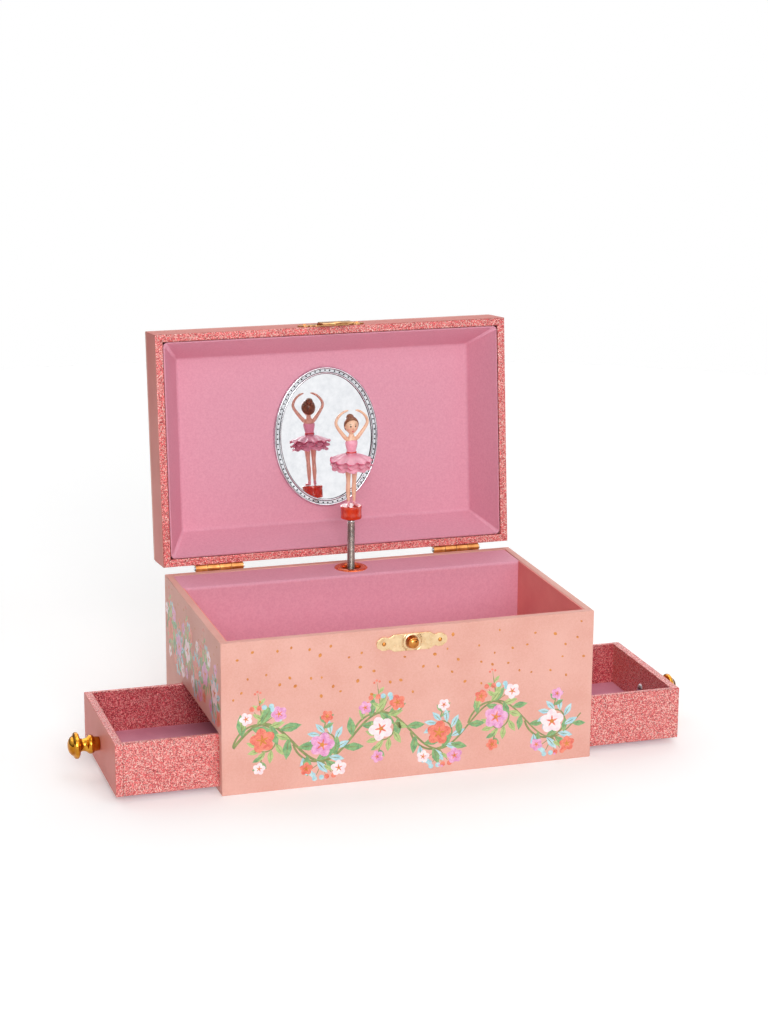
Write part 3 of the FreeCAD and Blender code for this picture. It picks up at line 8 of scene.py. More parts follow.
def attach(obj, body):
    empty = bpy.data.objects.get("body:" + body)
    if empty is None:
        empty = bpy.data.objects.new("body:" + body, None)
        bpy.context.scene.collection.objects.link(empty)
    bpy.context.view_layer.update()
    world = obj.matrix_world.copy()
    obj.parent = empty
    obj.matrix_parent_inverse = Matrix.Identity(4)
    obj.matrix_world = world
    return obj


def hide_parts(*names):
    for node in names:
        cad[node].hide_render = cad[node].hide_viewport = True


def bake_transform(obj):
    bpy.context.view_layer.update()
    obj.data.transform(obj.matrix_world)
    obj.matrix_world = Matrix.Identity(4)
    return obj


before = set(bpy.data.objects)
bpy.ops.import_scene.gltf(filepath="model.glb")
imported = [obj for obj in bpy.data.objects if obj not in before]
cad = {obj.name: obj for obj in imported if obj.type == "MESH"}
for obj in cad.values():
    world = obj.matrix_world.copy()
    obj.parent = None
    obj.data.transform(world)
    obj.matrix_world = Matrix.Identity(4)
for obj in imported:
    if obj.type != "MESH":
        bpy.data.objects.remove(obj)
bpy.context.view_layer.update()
mm = 0.001

# Case panels: four fibreboard panels, glued at the corners and wrapped in laminated peach paper.
# The paper is turned over the top edges and into the drawer mouths, so the edges are a little round.
case_half_width = 100 * mm
case_half_depth = 64 * mm
case_height = 80.8 * mm
case_wall = 4 * mm
paper = 0.06 * mm
paper_round = 0.45 * mm
hairline = 0.01 * mm
fibre_share = 0.4
mouth_y = (-58.6 * mm, 25.4 * mm)
mouth_z = (3.0 * mm, 31.7 * mm)


def srgb(red, green, blue):
    """A colour given as it looks on a screen, 0 to 255, as a shader takes it."""
    shares = [value / 255 for value in (red, green, blue)]
    linear = [share / 12.92 if share <= 0.04045 else ((share + 0.055) / 1.055) ** 2.4 for share in shares]
    return (*linear, 1)


def finish(name, **fixed):
    """A new material, and its shader with the sockets that are the same all over."""
    material = bpy.data.materials.new(name)
    material.use_nodes = True
    shader = material.node_tree.nodes["Principled BSDF"]
    for socket, value in fixed.items():
        shader.inputs[socket.replace("_", " ")].default_value = value
    return material, shader


def wired(material, kind, inputs, **settings):
    """A node added to a material, with its settings, values and links."""
    tree = material.node_tree
    made = tree.nodes.new(kind)
    for key, value in settings.items():
        setattr(made, key, value)
    for key, value in inputs.items():
        if isinstance(value, bpy.types.NodeSocket):
            tree.links.new(value, made.inputs[key])
        else:
            made.inputs[key].default_value = value
    return made


def into(material, output, shader, socket):
    material.node_tree.links.new(output, shader.inputs[socket])


def where(material):
    """The place of a point on the piece, in metres."""
    return wired(material, "ShaderNodeTexCoord", {}).outputs["Object"]


def noise(material, scale, detail):
    made = wired(
        material, "ShaderNodeTexNoise", {"Vector": where(material), "Scale": scale, "Detail": detail})
    return made.outputs[0]


def tones(material, factor, *stops):
    """A colour that runs through the stops as factor goes from 0 to 1."""
    ramp = wired(material, "ShaderNodeValToRGB", {"Fac": factor})
    elements = ramp.color_ramp.elements
    while len(elements) < len(stops):
        elements.new(0.5)
    for element, (position, colour) in zip(elements, stops):
        element.position = position
        element.color = colour
    return ramp.outputs["Color"]


def relief(material, shader, height, depth):
    bump = wired(material, "ShaderNodeBump", {"Height": height, "Strength": 1.0, "Distance": depth})
    into(material, bump.outputs["Normal"], shader, "Normal")


def mottled(name, dark, light, patch, fibre, depth, rough, **fixed):
    """Paper, card, board or paint: colour drifts in patches, gloss and relief follow a fine fibre."""
    material, shader = finish(name, **fixed)
    fibres = noise(material, fibre, 3.0)
    fine = wired(material, "ShaderNodeMath", {0: fibres, 1: fibre_share}, operation="MULTIPLY").outputs[0]
    patches = noise(material, patch, 4.0)
    both = wired(
        material, "ShaderNodeMath", {0: patches, 1: 1 - fibre_share, 2: fine}, operation="MULTIPLY_ADD")
    into(material, tones(material, both.outputs[0], (0.38, dark), (0.62, light)), shader, "Base Color")
    gloss = wired(
        material, "ShaderNodeMapRange",
        {"Value": fibres, "From Min": 0.3, "From Max": 0.7, "To Min": rough[0], "To Max": rough[1]})
    into(material, gloss.outputs[0], shader, "Roughness")
    relief(material, shader, fibres, depth)
    return material


peach_paper = mottled(
    "laminated_peach_paper", srgb(223, 165, 151), srgb(231, 178, 165),
    patch=45, fibre=1400, depth=0.02 * mm, rough=(0.4, 0.52),
    Specular_IOR_Level=0.14)


def piece(name, mesh, body, materials, replaced=()):
    """Makes a finished bmesh a piece of the object, riding on its body."""
    data = bpy.data.meshes.new(name)
    mesh.to_mesh(data)
    mesh.free()
    made = bpy.data.objects.new(name, data)
    bpy.context.collection.objects.link(made)
    for material in materials:
        data.materials.append(material)
    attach(made, body)
    if replaced:
        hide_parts(*replaced)
    return made


def block(low, high):
    """A square-edged board between two corners."""
    mesh = bmesh.new()
    bmesh.ops.create_cube(mesh, size=1)
    bmesh.ops.scale(mesh, vec=[b - a for a, b in zip(low, high)], verts=mesh.verts)
    bmesh.ops.translate(mesh, vec=[(a + b) / 2 for a, b in zip(low, high)], verts=mesh.verts)
    return mesh


def rounded(mesh, edges, radius, segments=3):
    """Rounds some edges, and shades only the rounding smooth."""
    made = bmesh.ops.bevel(
        mesh, geom=list(edges), offset=radius, offset_type="OFFSET", segments=segments, profile=0.5,
        affect="EDGES", material=-1, clamp_overlap=True)
    for face in made["faces"]:
        longest = max(edge.calc_length() for edge in face.edges)
        face.smooth = face.calc_area() < 1.5 * radius * longest
    return mesh


def scored(mesh, place, normal, **options):
    """Cuts the faces of a mesh along a plane."""
    everything = mesh.verts[:] + mesh.edges[:] + mesh.faces[:]
    return bmesh.ops.bisect_plane(mesh, geom=everything, plane_co=place, plane_no=normal, **options)


def middle(edge):
    return (edge.verts[0].co + edge.verts[1].co) / 2


def level(edge):
    return abs(edge.verts[0].co.z - edge.verts[1].co.z) < hairline


for panel, sign in (("front", -1), ("back", 1)):
    outer = sign * (case_half_depth - paper)
    inner = sign * (case_half_depth - case_wall)
    board = block(
        (-case_half_width + paper, min(outer, inner), 0),
        (case_half_width - paper, max(outer, inner), case_height))
    wrapped = [edge for edge in board.edges if level(edge) or abs(middle(edge).y - outer) < hairline]
    rounded(board, wrapped, paper_round)
    piece(panel + "_panel_wrapped", board, "box", [peach_paper], [panel + "_panel"])

for panel, sign in (("left", -1), ("right", 1)):
    outer = sign * (case_half_width - paper)
    inner = sign * (case_half_width - case_wall)
    end = case_half_depth - case_wall
    board = block((min(outer, inner), -end, 0), (max(outer, inner), end, case_height))
    for place, normal in (
            ((0, mouth_y[0], 0), (0, 1, 0)), ((0, mouth_y[1], 0), (0, 1, 0)),
            ((0, 0, mouth_z[0]), (0, 0, 1)), ((0, 0, mouth_z[1]), (0, 0, 1))):
        scored(board, place, normal)
    mouth = []
    for face in board.faces:
        centre = face.calc_center_median()
        if mouth_y[0] < centre.y < mouth_y[1] and mouth_z[0] < centre.z < mouth_z[1]:
            mouth.append(face)
    bmesh.ops.delete(board, geom=mouth, context="FACES")
    bmesh.ops.bridge_loops(board, edges=[edge for edge in board.edges if edge.is_boundary])
    wrapped = [
        edge for edge in board.edges
        if edge.calc_face_angle(0) > 1 and abs(abs(middle(edge).y) - end) > hairline]
    rounded(board, wrapped, paper_round)
    piece(panel + "_side_wrapped", board, "box", [peach_paper], [panel + "_side_panel"])

# Garland print: a scrolling vine with leaves, blossoms, berries and scattered gold dots.
# It is printed on the wrapping paper, so each motif is a skin of ink set into the paper's face.
ink_step = 0.009 * mm
ink_depth = 0.05 * mm
golden_share = 0.618034
ink_levels = {
    "stalk": 0.1, "leaf": 1.05, "vein": 2.0, "dot": 2.0, "berry": 2.55,
    "petal": 3.5, "heart": 4.5, "centre": 5.5}
vine_step, sprig_step = 1.2, 1.3
vine_width, curl_width, sprig_width = 1.5, 1.1, 0.9
vine_leaf, curl_leaf, sprig_leaf = 12.5, 9.5, 6.4
curl_blossom, right_blossom, left_blossom, spray_blossom = 6.8, 4.4, 3.6, 3.4
crest_berries, sprig_berries = 8.0, 3.6
right_reach, left_reach = (8.4, 4.6), (-8.8, 3.4)
dot_gap = 5.5
dot_sizes = (1.3, 2.3)
blossom_inks = [("coral", "gold"), ("lilac", "coral"), ("cream", "coral")]
ink_colours = {
    "leaf": (srgb(96, 150, 104), srgb(150, 190, 128)),
    "sage": (srgb(150, 180, 110), srgb(196, 208, 142)),
    "sky": (srgb(150, 200, 214), srgb(196, 226, 230)),
    "lilac": (srgb(216, 130, 186), srgb(240, 186, 218)),
    "coral": (srgb(222, 98, 84), srgb(242, 146, 120)),
    "cream": (srgb(246, 214, 222), srgb(255, 240, 238)),
    "gold": (srgb(196, 110, 40), srgb(226, 150, 66)),
    "stalk": (srgb(120, 128, 78), srgb(150, 158, 96)),
}
ink_names = list(ink_colours)
inks = [
    mottled(
        "ink_" + name, dark, light,
        patch=420, fibre=1800, depth=0.01 * mm, rough=(0.34, 0.48), Coat_Weight=0.18, Coat_Roughness=0.12)
    for name, (dark, light) in ink_colours.items()]


def own_level(sheet):
    """A little height of its own for each motif, so that overlapping inks of one layer never coincide."""
    return len(sheet.faces) * golden_share % 1 * 0.9


def motif(sheet, ink, layer, place, angle, length, width, base_share, tip_share, sides=12):
    """One leaf or petal from its base at place: an oval drawn in towards its base and its tip."""
    verts = bmesh.ops.create_circle(sheet, cap_ends=True, segments=sides, radius=0.5)["verts"]
    for vert in verts:
        along = vert.co.x + 0.5
        vert.co.y *= base_share + (1 - base_share) * math.sin(math.pi / 2 * min(1, 2 * along))
        vert.co.y *= tip_share + (1 - tip_share) * math.sin(math.pi / 2 * min(1, 2 - 2 * along))
    turn = Matrix.Rotation(angle, 4, "Z")
    lay = Matrix.Translation((place[0], place[1], layer + own_level(sheet))) @ turn
    shape = Matrix.Diagonal((length, width, 1, 1)) @ Matrix.Translation((0.5, 0, 0))
    bmesh.ops.transform(sheet, matrix=lay @ shape, verts=verts)
    for face in {face for vert in verts for face in vert.link_faces}:
        face.material_index = ink_names.index(ink)


def blossom(sheet, place, radius, ink, heart, turn, petals=5):
    """Round petals about a small heart."""
    for count in range(petals):
        angle = turn + 2 * math.pi * count / petals
        motif(sheet, ink, ink_levels["petal"], place, angle, radius, radius * 0.86, 0.35, 0.9)
        motif(sheet, heart, ink_levels["heart"], place, angle, radius * 0.5, radius * 0.16, 0.5, 0.3, 8)
    spot = (place[0] - radius * 0.17, place[1])
    motif(sheet, "gold", ink_levels["centre"], spot, 0, radius * 0.34, radius * 0.34, 1, 1)


def corners(grown):
    """The vertices among what an operator made."""
    return [item for item in grown if isinstance(item, bmesh.types.BMVert)]


def stalk(sheet, line, width):
    """A ribbon of ink along a line of points, thinner towards its end."""
    edge = None
    layer = ink_levels["stalk"] + own_level(sheet)
    for count, point in enumerate(line):
        ahead = line[min(count + 1, len(line) - 1)] - line[max(count - 1, 0)]
        half = Vector((-ahead.y, ahead.x)).normalized() * width * (1 - 0.55 * count / len(line)) / 2
        sides = [point - half, point + half]
        if edge is None:
            verts = [sheet.verts.new((side.x, side.y, layer)) for side in sides]
            edge = sheet.edges.new(verts)
            near = verts
            continue
        grown = bmesh.ops.extrude_edge_only(sheet, edges=[edge])["geom"]
        fresh = corners(grown)
        fresh.sort(key=lambda vert: (vert.co - near[0].co).length)
        for vert, side in zip(fresh, sides):
            vert.co = (side.x, side.y, layer)
        near = fresh
        edge = next(
            item for item in grown
            if isinstance(item, bmesh.types.BMEdge) and set(item.verts) == set(fresh))
        for face in edge.link_faces:
            face.material_index = ink_names.index("stalk")


def leafed(sheet, line, every, size, ink, first_side=1, one_sided=False):
    """Leaves along a stalk, on alternate sides, smaller towards its end."""
    side = first_side
    for count in range(every, len(line) - 1, every):
        ahead = line[count + 1] - line[count - 1]
        angle = math.atan2(ahead.y, ahead.x) + side * 0.85
        length = size * (1 - 0.4 * count / len(line))
        root = line[count]
        motif(sheet, ink, ink_levels["leaf"], root, angle, length, length * 0.42, 0.3, 0.15)
        motif(sheet, "stalk", ink_levels["vein"], root, angle, length * 0.8, length * 0.05, 0.6, 0.2, 6)
        side = side if one_sided else -side


def berries(sheet, place, angle, size, ink):
    """A short stalk with three round berries."""
    way = Vector((math.cos(angle), math.sin(angle)))
    stalk(sheet, [place + way * size * step / 4 for step in range(5)], size * 0.07)
    for spread in (-0.5, 0, 0.5):
        spot = place + way * size * (0.86 if spread else 1.1) + Vector((-way.y, way.x)) * spread * size * 0.8
        motif(sheet, ink, ink_levels["berry"], spot, angle, size * 0.34, size * 0.34, 1, 1)


def straight(start, angle, steps):
    """Points along a short straight stalk."""
    way = Vector((math.cos(angle), math.sin(angle)))
    return [start + way * step * sprig_step for step in range(steps)]


def spiral(centre, start, turns, radius, tightness, flip):
    """A line that curls in towards its centre."""
    line = []
    for step in range(61):
        turn = turns * step / 60
        reach = radius * math.exp(-tightness * turn)
        angle = start - flip * 2 * math.pi * turn
        line.append(Vector((centre[0] + reach * math.cos(angle), centre[1] + reach * math.sin(angle))))
    return line


def scroll(sheet, low, high, mid, swing, period, draw):
    """A wave of vine between two ends, with a curl and its blossom in every hollow."""
    steps = int((high - low) / vine_step)
    wave = []
    for step in range(steps + 1):
        x = low + (high - low) * step / steps
        wave.append(Vector((x, mid + swing * math.sin(2 * math.pi * (x - low) / period))))
    stalk(sheet, wave, vine_width)
    leafed(sheet, wave, 4, vine_leaf, "leaf")
    hollow = 0
    x = low + period / 4
    while x < high - period / 5:
        flip = 1 if hollow % 2 == 0 else -1
        curl = spiral((x, mid + flip * swing * 0.08), math.pi, 1.22, period / 4, 1.75, flip)
        stalk(sheet, curl, curl_width)
        leafed(sheet, curl, 5, curl_leaf, "sky" if hollow % 2 else "sage", flip, True)
        blossom(sheet, curl[-1], curl_blossom, *blossom_inks[hollow % 3], draw.random())
        crest = Vector((x, mid + flip * swing))
        for lean in (-1.0, -0.45, 0.6):
            ink = "sky" if lean < 0 else "coral"
            berries(sheet, crest, flip * math.pi / 2 + lean, crest_berries, ink)
        second, third = blossom_inks[(hollow + 1) % 3], blossom_inks[(hollow + 2) % 3]
        right_spot = crest + Vector((right_reach[0], flip * right_reach[1]))
        blossom(sheet, right_spot, right_blossom, *second, draw.random())
        left_spot = crest + Vector((left_reach[0], flip * left_reach[1]))
        blossom(sheet, left_spot, left_blossom, *third, draw.random())
        lean = flip * math.pi / 2 + 0.16
        sprig = straight(crest, lean, 11 if flip > 0 else 5)
        stalk(sheet, sprig, sprig_width)
        leafed(sheet, sprig, 2, sprig_leaf, "sage")
        berries(sheet, sprig[-1], lean, sprig_berries, "lilac" if hollow % 2 else "coral")
        foot = Vector((x, mid - flip * swing * 0.3))
        spray = straight(foot, -flip * math.pi / 2 - 0.25, 8)
        stalk(sheet, spray, sprig_width)
        leafed(sheet, spray, 2, sprig_leaf, "leaf", -1)
        blossom(sheet, spray[-1], spray_blossom, *third, draw.random())
        hollow += 1
        x += period / 2


def gold_dots(sheet, low, high, count, keep_off, draw):
    """Small gold dots strewn over a rectangle, none close together or under a fitting."""
    spots = []
    for _ in range(count * 12):
        spot = Vector((draw.uniform(low[0], high[0]), draw.uniform(low[1], high[1])))
        near = any((spot - other).length < dot_gap for other in spots)
        covered = any(abs(spot.x - x) < wide and abs(spot.y - y) < tall for x, y, wide, tall in keep_off)
        if near or covered or len(spots) == count:
            continue
        spots.append(spot)
        size = draw.uniform(*dot_sizes)
        turn = draw.uniform(0, 6.28)
        motif(sheet, "gold", ink_levels["dot"], spot, turn, size, size * 0.8, 0.8, 0.7, 8)


def printed(name, sheet, body, origin, across, up):
    """Lays a drawn sheet on a face: its inks become thin skins, let into the paper."""
    normal = Vector(across).cross(Vector(up))
    axes = Matrix((Vector(across), Vector(up), normal)).transposed().to_4x4()
    bmesh.ops.recalc_face_normals(sheet, faces=sheet.faces)
    for face in sheet.faces:
        if face.normal.z < 0:
            face.normal_flip()
    size = Matrix.Diagonal((mm, mm, ink_step, 1))
    bmesh.ops.transform(sheet, matrix=Matrix.Translation(origin) @ axes @ size, verts=sheet.verts)
    bmesh.ops.solidify(sheet, geom=sheet.faces[:], thickness=ink_depth)
    return piece(name, sheet, body, inks)


draw = random.Random(12)
front_print = bmesh.new()
scroll(front_print, low=-94, high=94, mid=25, swing=11.5, period=62.6, draw=draw)
gold_dots(front_print, low=(-96, 46), high=(96, 77), count=58, keep_off=[(0, 73, 21, 6)], draw=draw)
printed("front_print", front_print, "box", (0, -case_half_depth + paper, 0), (1, 0, 0), (0, 0, 1))
back_print = bmesh.new()
scroll(back_print, low=-94, high=94, mid=48, swing=8.5, period=47, draw=draw)
gold_dots(back_print, low=(-96, 5), high=(96, 30), count=44, keep_off=[(-2, 19.7, 14, 14)], draw=draw)
printed("back_print", back_print, "box", (0, case_half_depth - paper, 0), (-1, 0, 0), (0, 0, 1))
for panel, sign in (("left", -1), ("right", 1)):
    side_print = bmesh.new()
    scroll(side_print, low=-60, high=60, mid=52, swing=8, period=40, draw=draw)
    gold_dots(side_print, low=(-61, 64), high=(61, 78), count=20, keep_off=[], draw=draw)
    origin = (sign * (case_half_width - paper), 0, 0)
    printed(panel + "_side_print", side_print, "box", origin, (0, sign, 0), (0, 0, 1))

# Inside boards: a base, a deck over the drawers, rails and a divider that guide them.
# They are bare fibreboard, sawn square and glued in before the panels are wrapped.
bare_board = mottled(
    "bare_fibreboard", srgb(172, 136, 100), srgb(202, 168, 130),
    patch=160, fibre=2600, depth=0.05 * mm, rough=(0.72, 0.9))


def dressed(material, *nodes):
    """Gives CAD nodes whose shape is right their material."""
    for name in nodes:
        cad[name].data.materials.clear()
        cad[name].data.materials.append(material)


dressed(
    bare_board, "base_board", "drawer_front_rail", "drawer_rear_rail", "drawer_divider", "compartment_deck")

# Compartment: coral card lines the front and sides, and a pink pad lies on the floor.
# Pink paper covers the partition and the ledge over the rear well, soft over the ledge's front edge.
coral_card = mottled(
    "coral_lining_card", srgb(232, 139, 131), srgb(241, 153, 143),
    patch=60, fibre=1500, depth=0.05 * mm, rough=(0.6, 0.78))
pink_card = mottled(
    "pink_covering_paper", srgb(221, 151, 171), srgb(230, 163, 182),
    patch=900, fibre=2600, depth=0.05 * mm, rough=(0.58, 0.74))
dressed(coral_card, "compartment_lining")
dressed(pink_card, "compartment_floor_pad", "well_partition", "ledge_top")

# Spindle ring: a copper-coloured eyelet pressed into the hole in the ledge.
# Its rounded flange is turned, and inside it is dark down to the movement.
spindle = Vector((2 * mm, 50 * mm, 0))
ledge_height = 80.4 * mm
copper, copper_shader = finish(
    "copper_lacquer", Metallic=0.75, Coat_Weight=0.6, Coat_Roughness=0.06)
copper_cloud = noise(copper, 700, 3.0)
copper_tone = tones(copper, copper_cloud, (0.35, srgb(196, 74, 22)), (0.7, srgb(232, 112, 44)))
into(copper, copper_tone, copper_shader, "Base Color")
copper_gloss = wired(copper, "ShaderNodeMapRange", {"Value": copper_cloud, "To Min": 0.16, "To Max": 0.34})
into(copper, copper_gloss.outputs[0], copper_shader, "Roughness")


def turned(profile, base, axis, steps=48, mesh=None):
    """A lathe piece from (radius, height) points in millimetres, stood on base along axis."""
    mesh = mesh or bmesh.new()
    verts = [mesh.verts.new((radius * mm, 0, height * mm)) for radius, height in profile]
    edges = [mesh.edges.new(pair) for pair in zip(verts, verts[1:])]
    bmesh.ops.spin(
        mesh, geom=verts + edges, cent=(0, 0, 0), axis=(0, 0, 1), angle=2 * math.pi, steps=steps,
        use_merge=True)
    spun = {vert for face in mesh.faces for vert in face.verts if not face.tag}
    bmesh.ops.remove_doubles(mesh, verts=list(spun), dist=0.002 * mm)
    fresh = [face for face in mesh.faces if not face.tag]
    bmesh.ops.recalc_face_normals(mesh, faces=fresh)
    turn = Vector((0, 0, 1)).rotation_difference(Vector(axis)).to_matrix().to_4x4()
    placed = {vert for face in fresh for vert in face.verts}
    bmesh.ops.transform(mesh, matrix=Matrix.Translation(base) @ turn, verts=list(placed))
    for face in fresh:
        face.smooth = True
        face.tag = True
    for edge in {edge for face in fresh for edge in face.edges}:
        edge.smooth = edge.calc_face_angle(0) < 0.6
    return mesh


ring_profile = [
    (5.35, -2.4), (5.35, 0.1), (5.6, 0.5), (6.4, 0.78), (7.3, 0.8), (8.3, 0.62), (8.9, 0.34), (9.2, 0.0),
    (5.95, 0.0), (5.95, -2.4), (5.35, -2.4)]
ring = turned(ring_profile, spindle + Vector((0, 0, ledge_height)), (0, 0, 1))
piece("spindle_eyelet", ring, "box", [copper], ["spindle_ring"])

# Lock: a stamped brass plate with scalloped ends, nailed to the front, and a domed stud.
# A raised round seat in the middle of the plate holds the stud, whose neck takes the lid's hasp.
def metal(name, dark, light, rough, scratch, **fixed):
    """Bright metal whose colour and gloss vary a little, with fine drawn lines."""
    material, shader = finish(name, Metallic=1.0, **fixed)
    cloud = noise(material, 260, 4.0)
    into(material, tones(material, cloud, (0.3, dark), (0.7, light)), shader, "Base Color")
    gloss = wired(material, "ShaderNodeMapRange", {"Value": cloud, "To Min": rough[0], "To Max": rough[1]})
    into(material, gloss.outputs[0], shader, "Roughness")
    lines = wired(
        material, "ShaderNodeMapping", {"Vector": where(material), "Scale": (120, 2600, 2600)})
    fine = wired(material, "ShaderNodeTexNoise", {"Vector": lines.outputs[0], "Scale": 1.0, "Detail": 2.0})
    relief(material, shader, fine.outputs[0], scratch)
    return material


pale_brass = metal(
    "pale_brass", srgb(220, 184, 138), srgb(242, 214, 172), rough=(0.2, 0.36), scratch=0.006 * mm)
plate_outline = [
    (9.6, 4.5), (11.4, 3.4), (12.8, 2.9), (13.6, 3.5), (16.2, 3.5), (17.2, 2.6), (18.5, 2.0), (19.0, 0.0)]
lock_height = 73.1 * mm
lock_plate_thickness = 0.8
seat_clip = 4.3
to_millimetres = (1 / mm, 1 / mm, 1 / mm)


def stamped_plate():
    """The plate's outline, rounded and pressed up, lying flat with its face along +Z, in millimetres."""
    mesh = bmesh.new()
    right = plate_outline + [(x, -y) for x, y in reversed(plate_outline[:-1])]
    outline = right + [(-x, -y) for x, y in right]
    mesh.faces.new([mesh.verts.new((x, y, 0)) for x, y in outline])
    bmesh.ops.bevel(
        mesh, geom=mesh.verts[:], offset=0.55, offset_type="OFFSET", segments=3, profile=0.5,
        affect="VERTICES", material=-1, clamp_overlap=True)
    grown = bmesh.ops.extrude_face_region(mesh, geom=mesh.faces[:])["geom"]
    bmesh.ops.translate(mesh, vec=(0, 0, lock_plate_thickness), verts=corners(grown))
    bmesh.ops.recalc_face_normals(mesh, faces=mesh.faces)
    front = next(face for face in mesh.faces if face.normal.z > 0.9 and face.calc_center_median().z > 0.4)
    rounded(mesh, front.edges[:], 0.32, 3)
    return mesh


def joined(mesh, other):
    """Adds a second mesh to the first."""
    spare = bpy.data.meshes.new("spare")
    other.to_mesh(spare)
    other.free()
    mesh.from_mesh(spare)
    bpy.data.meshes.remove(spare)


def boss(mesh):
    """A raised round seat for the stud, cut off level with the plate's long edges."""
    profile = [
        (0, 0.9), (2.6, 0.86), (3.3, 1.0), (3.7, 1.16), (4.2, 1.1), (4.5, 0.86), (4.8, 0.86), (5.05, 1.1),
        (5.3, 1.16), (5.6, 1.02), (5.75, 0.7), (5.75, 0.3), (0, 0.3), (0, 0.9)]
    seat = turned(profile, (0, 0, 0), (0, 0, 1), 40)
    bmesh.ops.scale(seat, vec=to_millimetres, verts=seat.verts)
    for sign in (-1, 1):
        cut = scored(seat, (0, sign * seat_clip, 0), (0, sign, 0), clear_outer=True)
        edges = [item for item in cut["geom_cut"] if isinstance(item, bmesh.types.BMEdge)]
        bmesh.ops.contextual_create(seat, geom=edges)
    joined(mesh, seat)


def upright(mesh, place):
    """Stands a flat millimetre mesh up against the front, its face towards -Y."""
    stand = Matrix.Translation(place) @ Matrix.Rotation(math.pi / 2, 4, "X") @ Matrix.Scale(mm, 4)
    bmesh.ops.transform(mesh, matrix=stand, verts=mesh.verts)
    return mesh


plate = stamped_plate()
boss(plate)
upright(plate, (0, -case_half_depth, lock_height))
piece("lock_plate_stamped", plate, "box", [pale_brass], ["lock_plate"])
stud_gold = metal(
    "stud_gold", srgb(176, 100, 44), srgb(222, 158, 84), rough=(0.08, 0.16), scratch=0.002 * mm)
stud_profile = [
    (0, -1.0), (1.4, -1.0), (1.4, 1.4), (2.5, 1.45), (2.86, 1.7), (2.9, 2.0), (2.66, 2.4), (2.1, 2.62),
    (1.9, 2.58), (1.5, 2.84), (0.8, 3.02), (0, 3.05)]
stud = turned(stud_profile, (0, -case_half_depth - 1.2 * mm, lock_height), (0, -1, 0), 36)
piece("lock_stud_domed", stud, "box", [stud_gold], ["lock_stud"])

# Lid: a top board wrapped in the peach print, on four mitred walls wrapped in the peach paper painted darker
# and redder as painted shade.
# The rim is faced with rose glitter paper, which also covers the walls' insides and mitred ends.
hinge = Vector((0, 66 * mm, 81.84 * mm))
lid_open = Matrix.Rotation(math.radians(-95.64), 3, "X")
lid_front = -63.4 * mm
lid_back = 64 * mm
lid_middle = (lid_front + lid_back) / 2
lid_rim = 81.15 * mm
lid_ceiling = 103.75 * mm
lid_top = 107.25 * mm
lid_wall = 4.2 * mm
rim_round = 0.5 * mm
flake = 0.36 * mm
along_x, along_y = 0, 1


def opened(mesh):
    """Swings a mesh drawn on the shut lid to where the lid stands open."""
    bmesh.ops.rotate(mesh, cent=hinge, matrix=lid_open, verts=mesh.verts)
    return mesh


def glittered(name, dark, middle_tone, light, size):
    """Paper coated in flakes: every cell has its own colour and its own tilt."""
    material, shader = finish(name, Metallic=0.25, Roughness=0.34, Coat_Weight=0.25, Coat_Roughness=0.2)
    cells = wired(material, "ShaderNodeTexVoronoi", {"Vector": where(material), "Scale": 1 / size})
    split = wired(material, "ShaderNodeSeparateColor", {"Color": cells.outputs["Color"]})
    colour = tones(
        material, split.outputs[0], (0.0, dark), (0.3, middle_tone), (0.62, middle_tone), (0.9, light))
    into(material, colour, shader, "Base Color")
    spread = wired(
        material, "ShaderNodeVectorMath",
        {0: cells.outputs["Color"], 1: (0.8, 0.8, 0.8), 2: (-0.4, -0.4, -0.4)}, operation="MULTIPLY_ADD")
    normal = wired(material, "ShaderNodeNewGeometry", {}).outputs["Normal"]
    tilted = wired(material, "ShaderNodeVectorMath", {0: normal, 1: spread.outputs[0]}, operation="ADD")
    unit = wired(material, "ShaderNodeVectorMath", {0: tilted.outputs[0]}, operation="NORMALIZE")
    into(material, unit.outputs[0], shader, "Normal")
    return material


rose_glitter = glittered(
    "rose_glitter_paper", srgb(108, 16, 28), srgb(216, 91, 91), srgb(255, 216, 204), flake)
# The lid walls' and drawer ends' paper is the peach paper painted darker and redder, as painted shade.
peach_paper_painted_shade = mottled(
    "laminated_peach_paper_painted_shade", srgb(210, 125, 116), srgb(219, 136, 127),
    patch=45, fibre=1400, depth=0.02 * mm, rough=(0.4, 0.52),
    Specular_IOR_Level=0.14)
left, right = -case_half_width + paper, case_half_width - paper
front, back = lid_front + paper, lid_back - paper
top_board = block((left, front, lid_ceiling), (right, back, lid_top - paper))
wrapped = [edge for edge in top_board.edges if middle(edge).z > lid_ceiling + 0.1 * mm]
rounded(top_board, wrapped, paper_round)
piece("lid_top_wrapped", opened(top_board), "lid", [peach_paper], ["lid_top_board"])


def mitred_wall(low, high, axis, inner_sign):
    """A wall along one axis, cut at 45 degrees at both ends, with its rim and inside in glitter paper."""
    wall = block(low, high)
    across = 1 - axis
    inner = (low, high)[inner_sign > 0][across]
    short = [vert for vert in wall.verts if abs(vert.co[across] - inner) < hairline]
    half = (high[axis] - low[axis]) / 2
    share = [1, 1, 1]
    share[axis] = (half - lid_wall) / half
    centre = (high[axis] + low[axis]) / 2
    move = Matrix.Translation([-centre if count == axis else 0 for count in range(3)])
    bmesh.ops.scale(wall, vec=share, verts=short, space=move)
    rim = [edge for edge in wall.edges if middle(edge).z < low[2] + hairline]
    rounded(wall, rim, rim_round)
    outward = Vector((0, 0, 0))
    outward[across] = -inner_sign
    for face in wall.faces:
        face.material_index = 0 if face.normal.dot(outward) > 0.75 else 1
    return wall


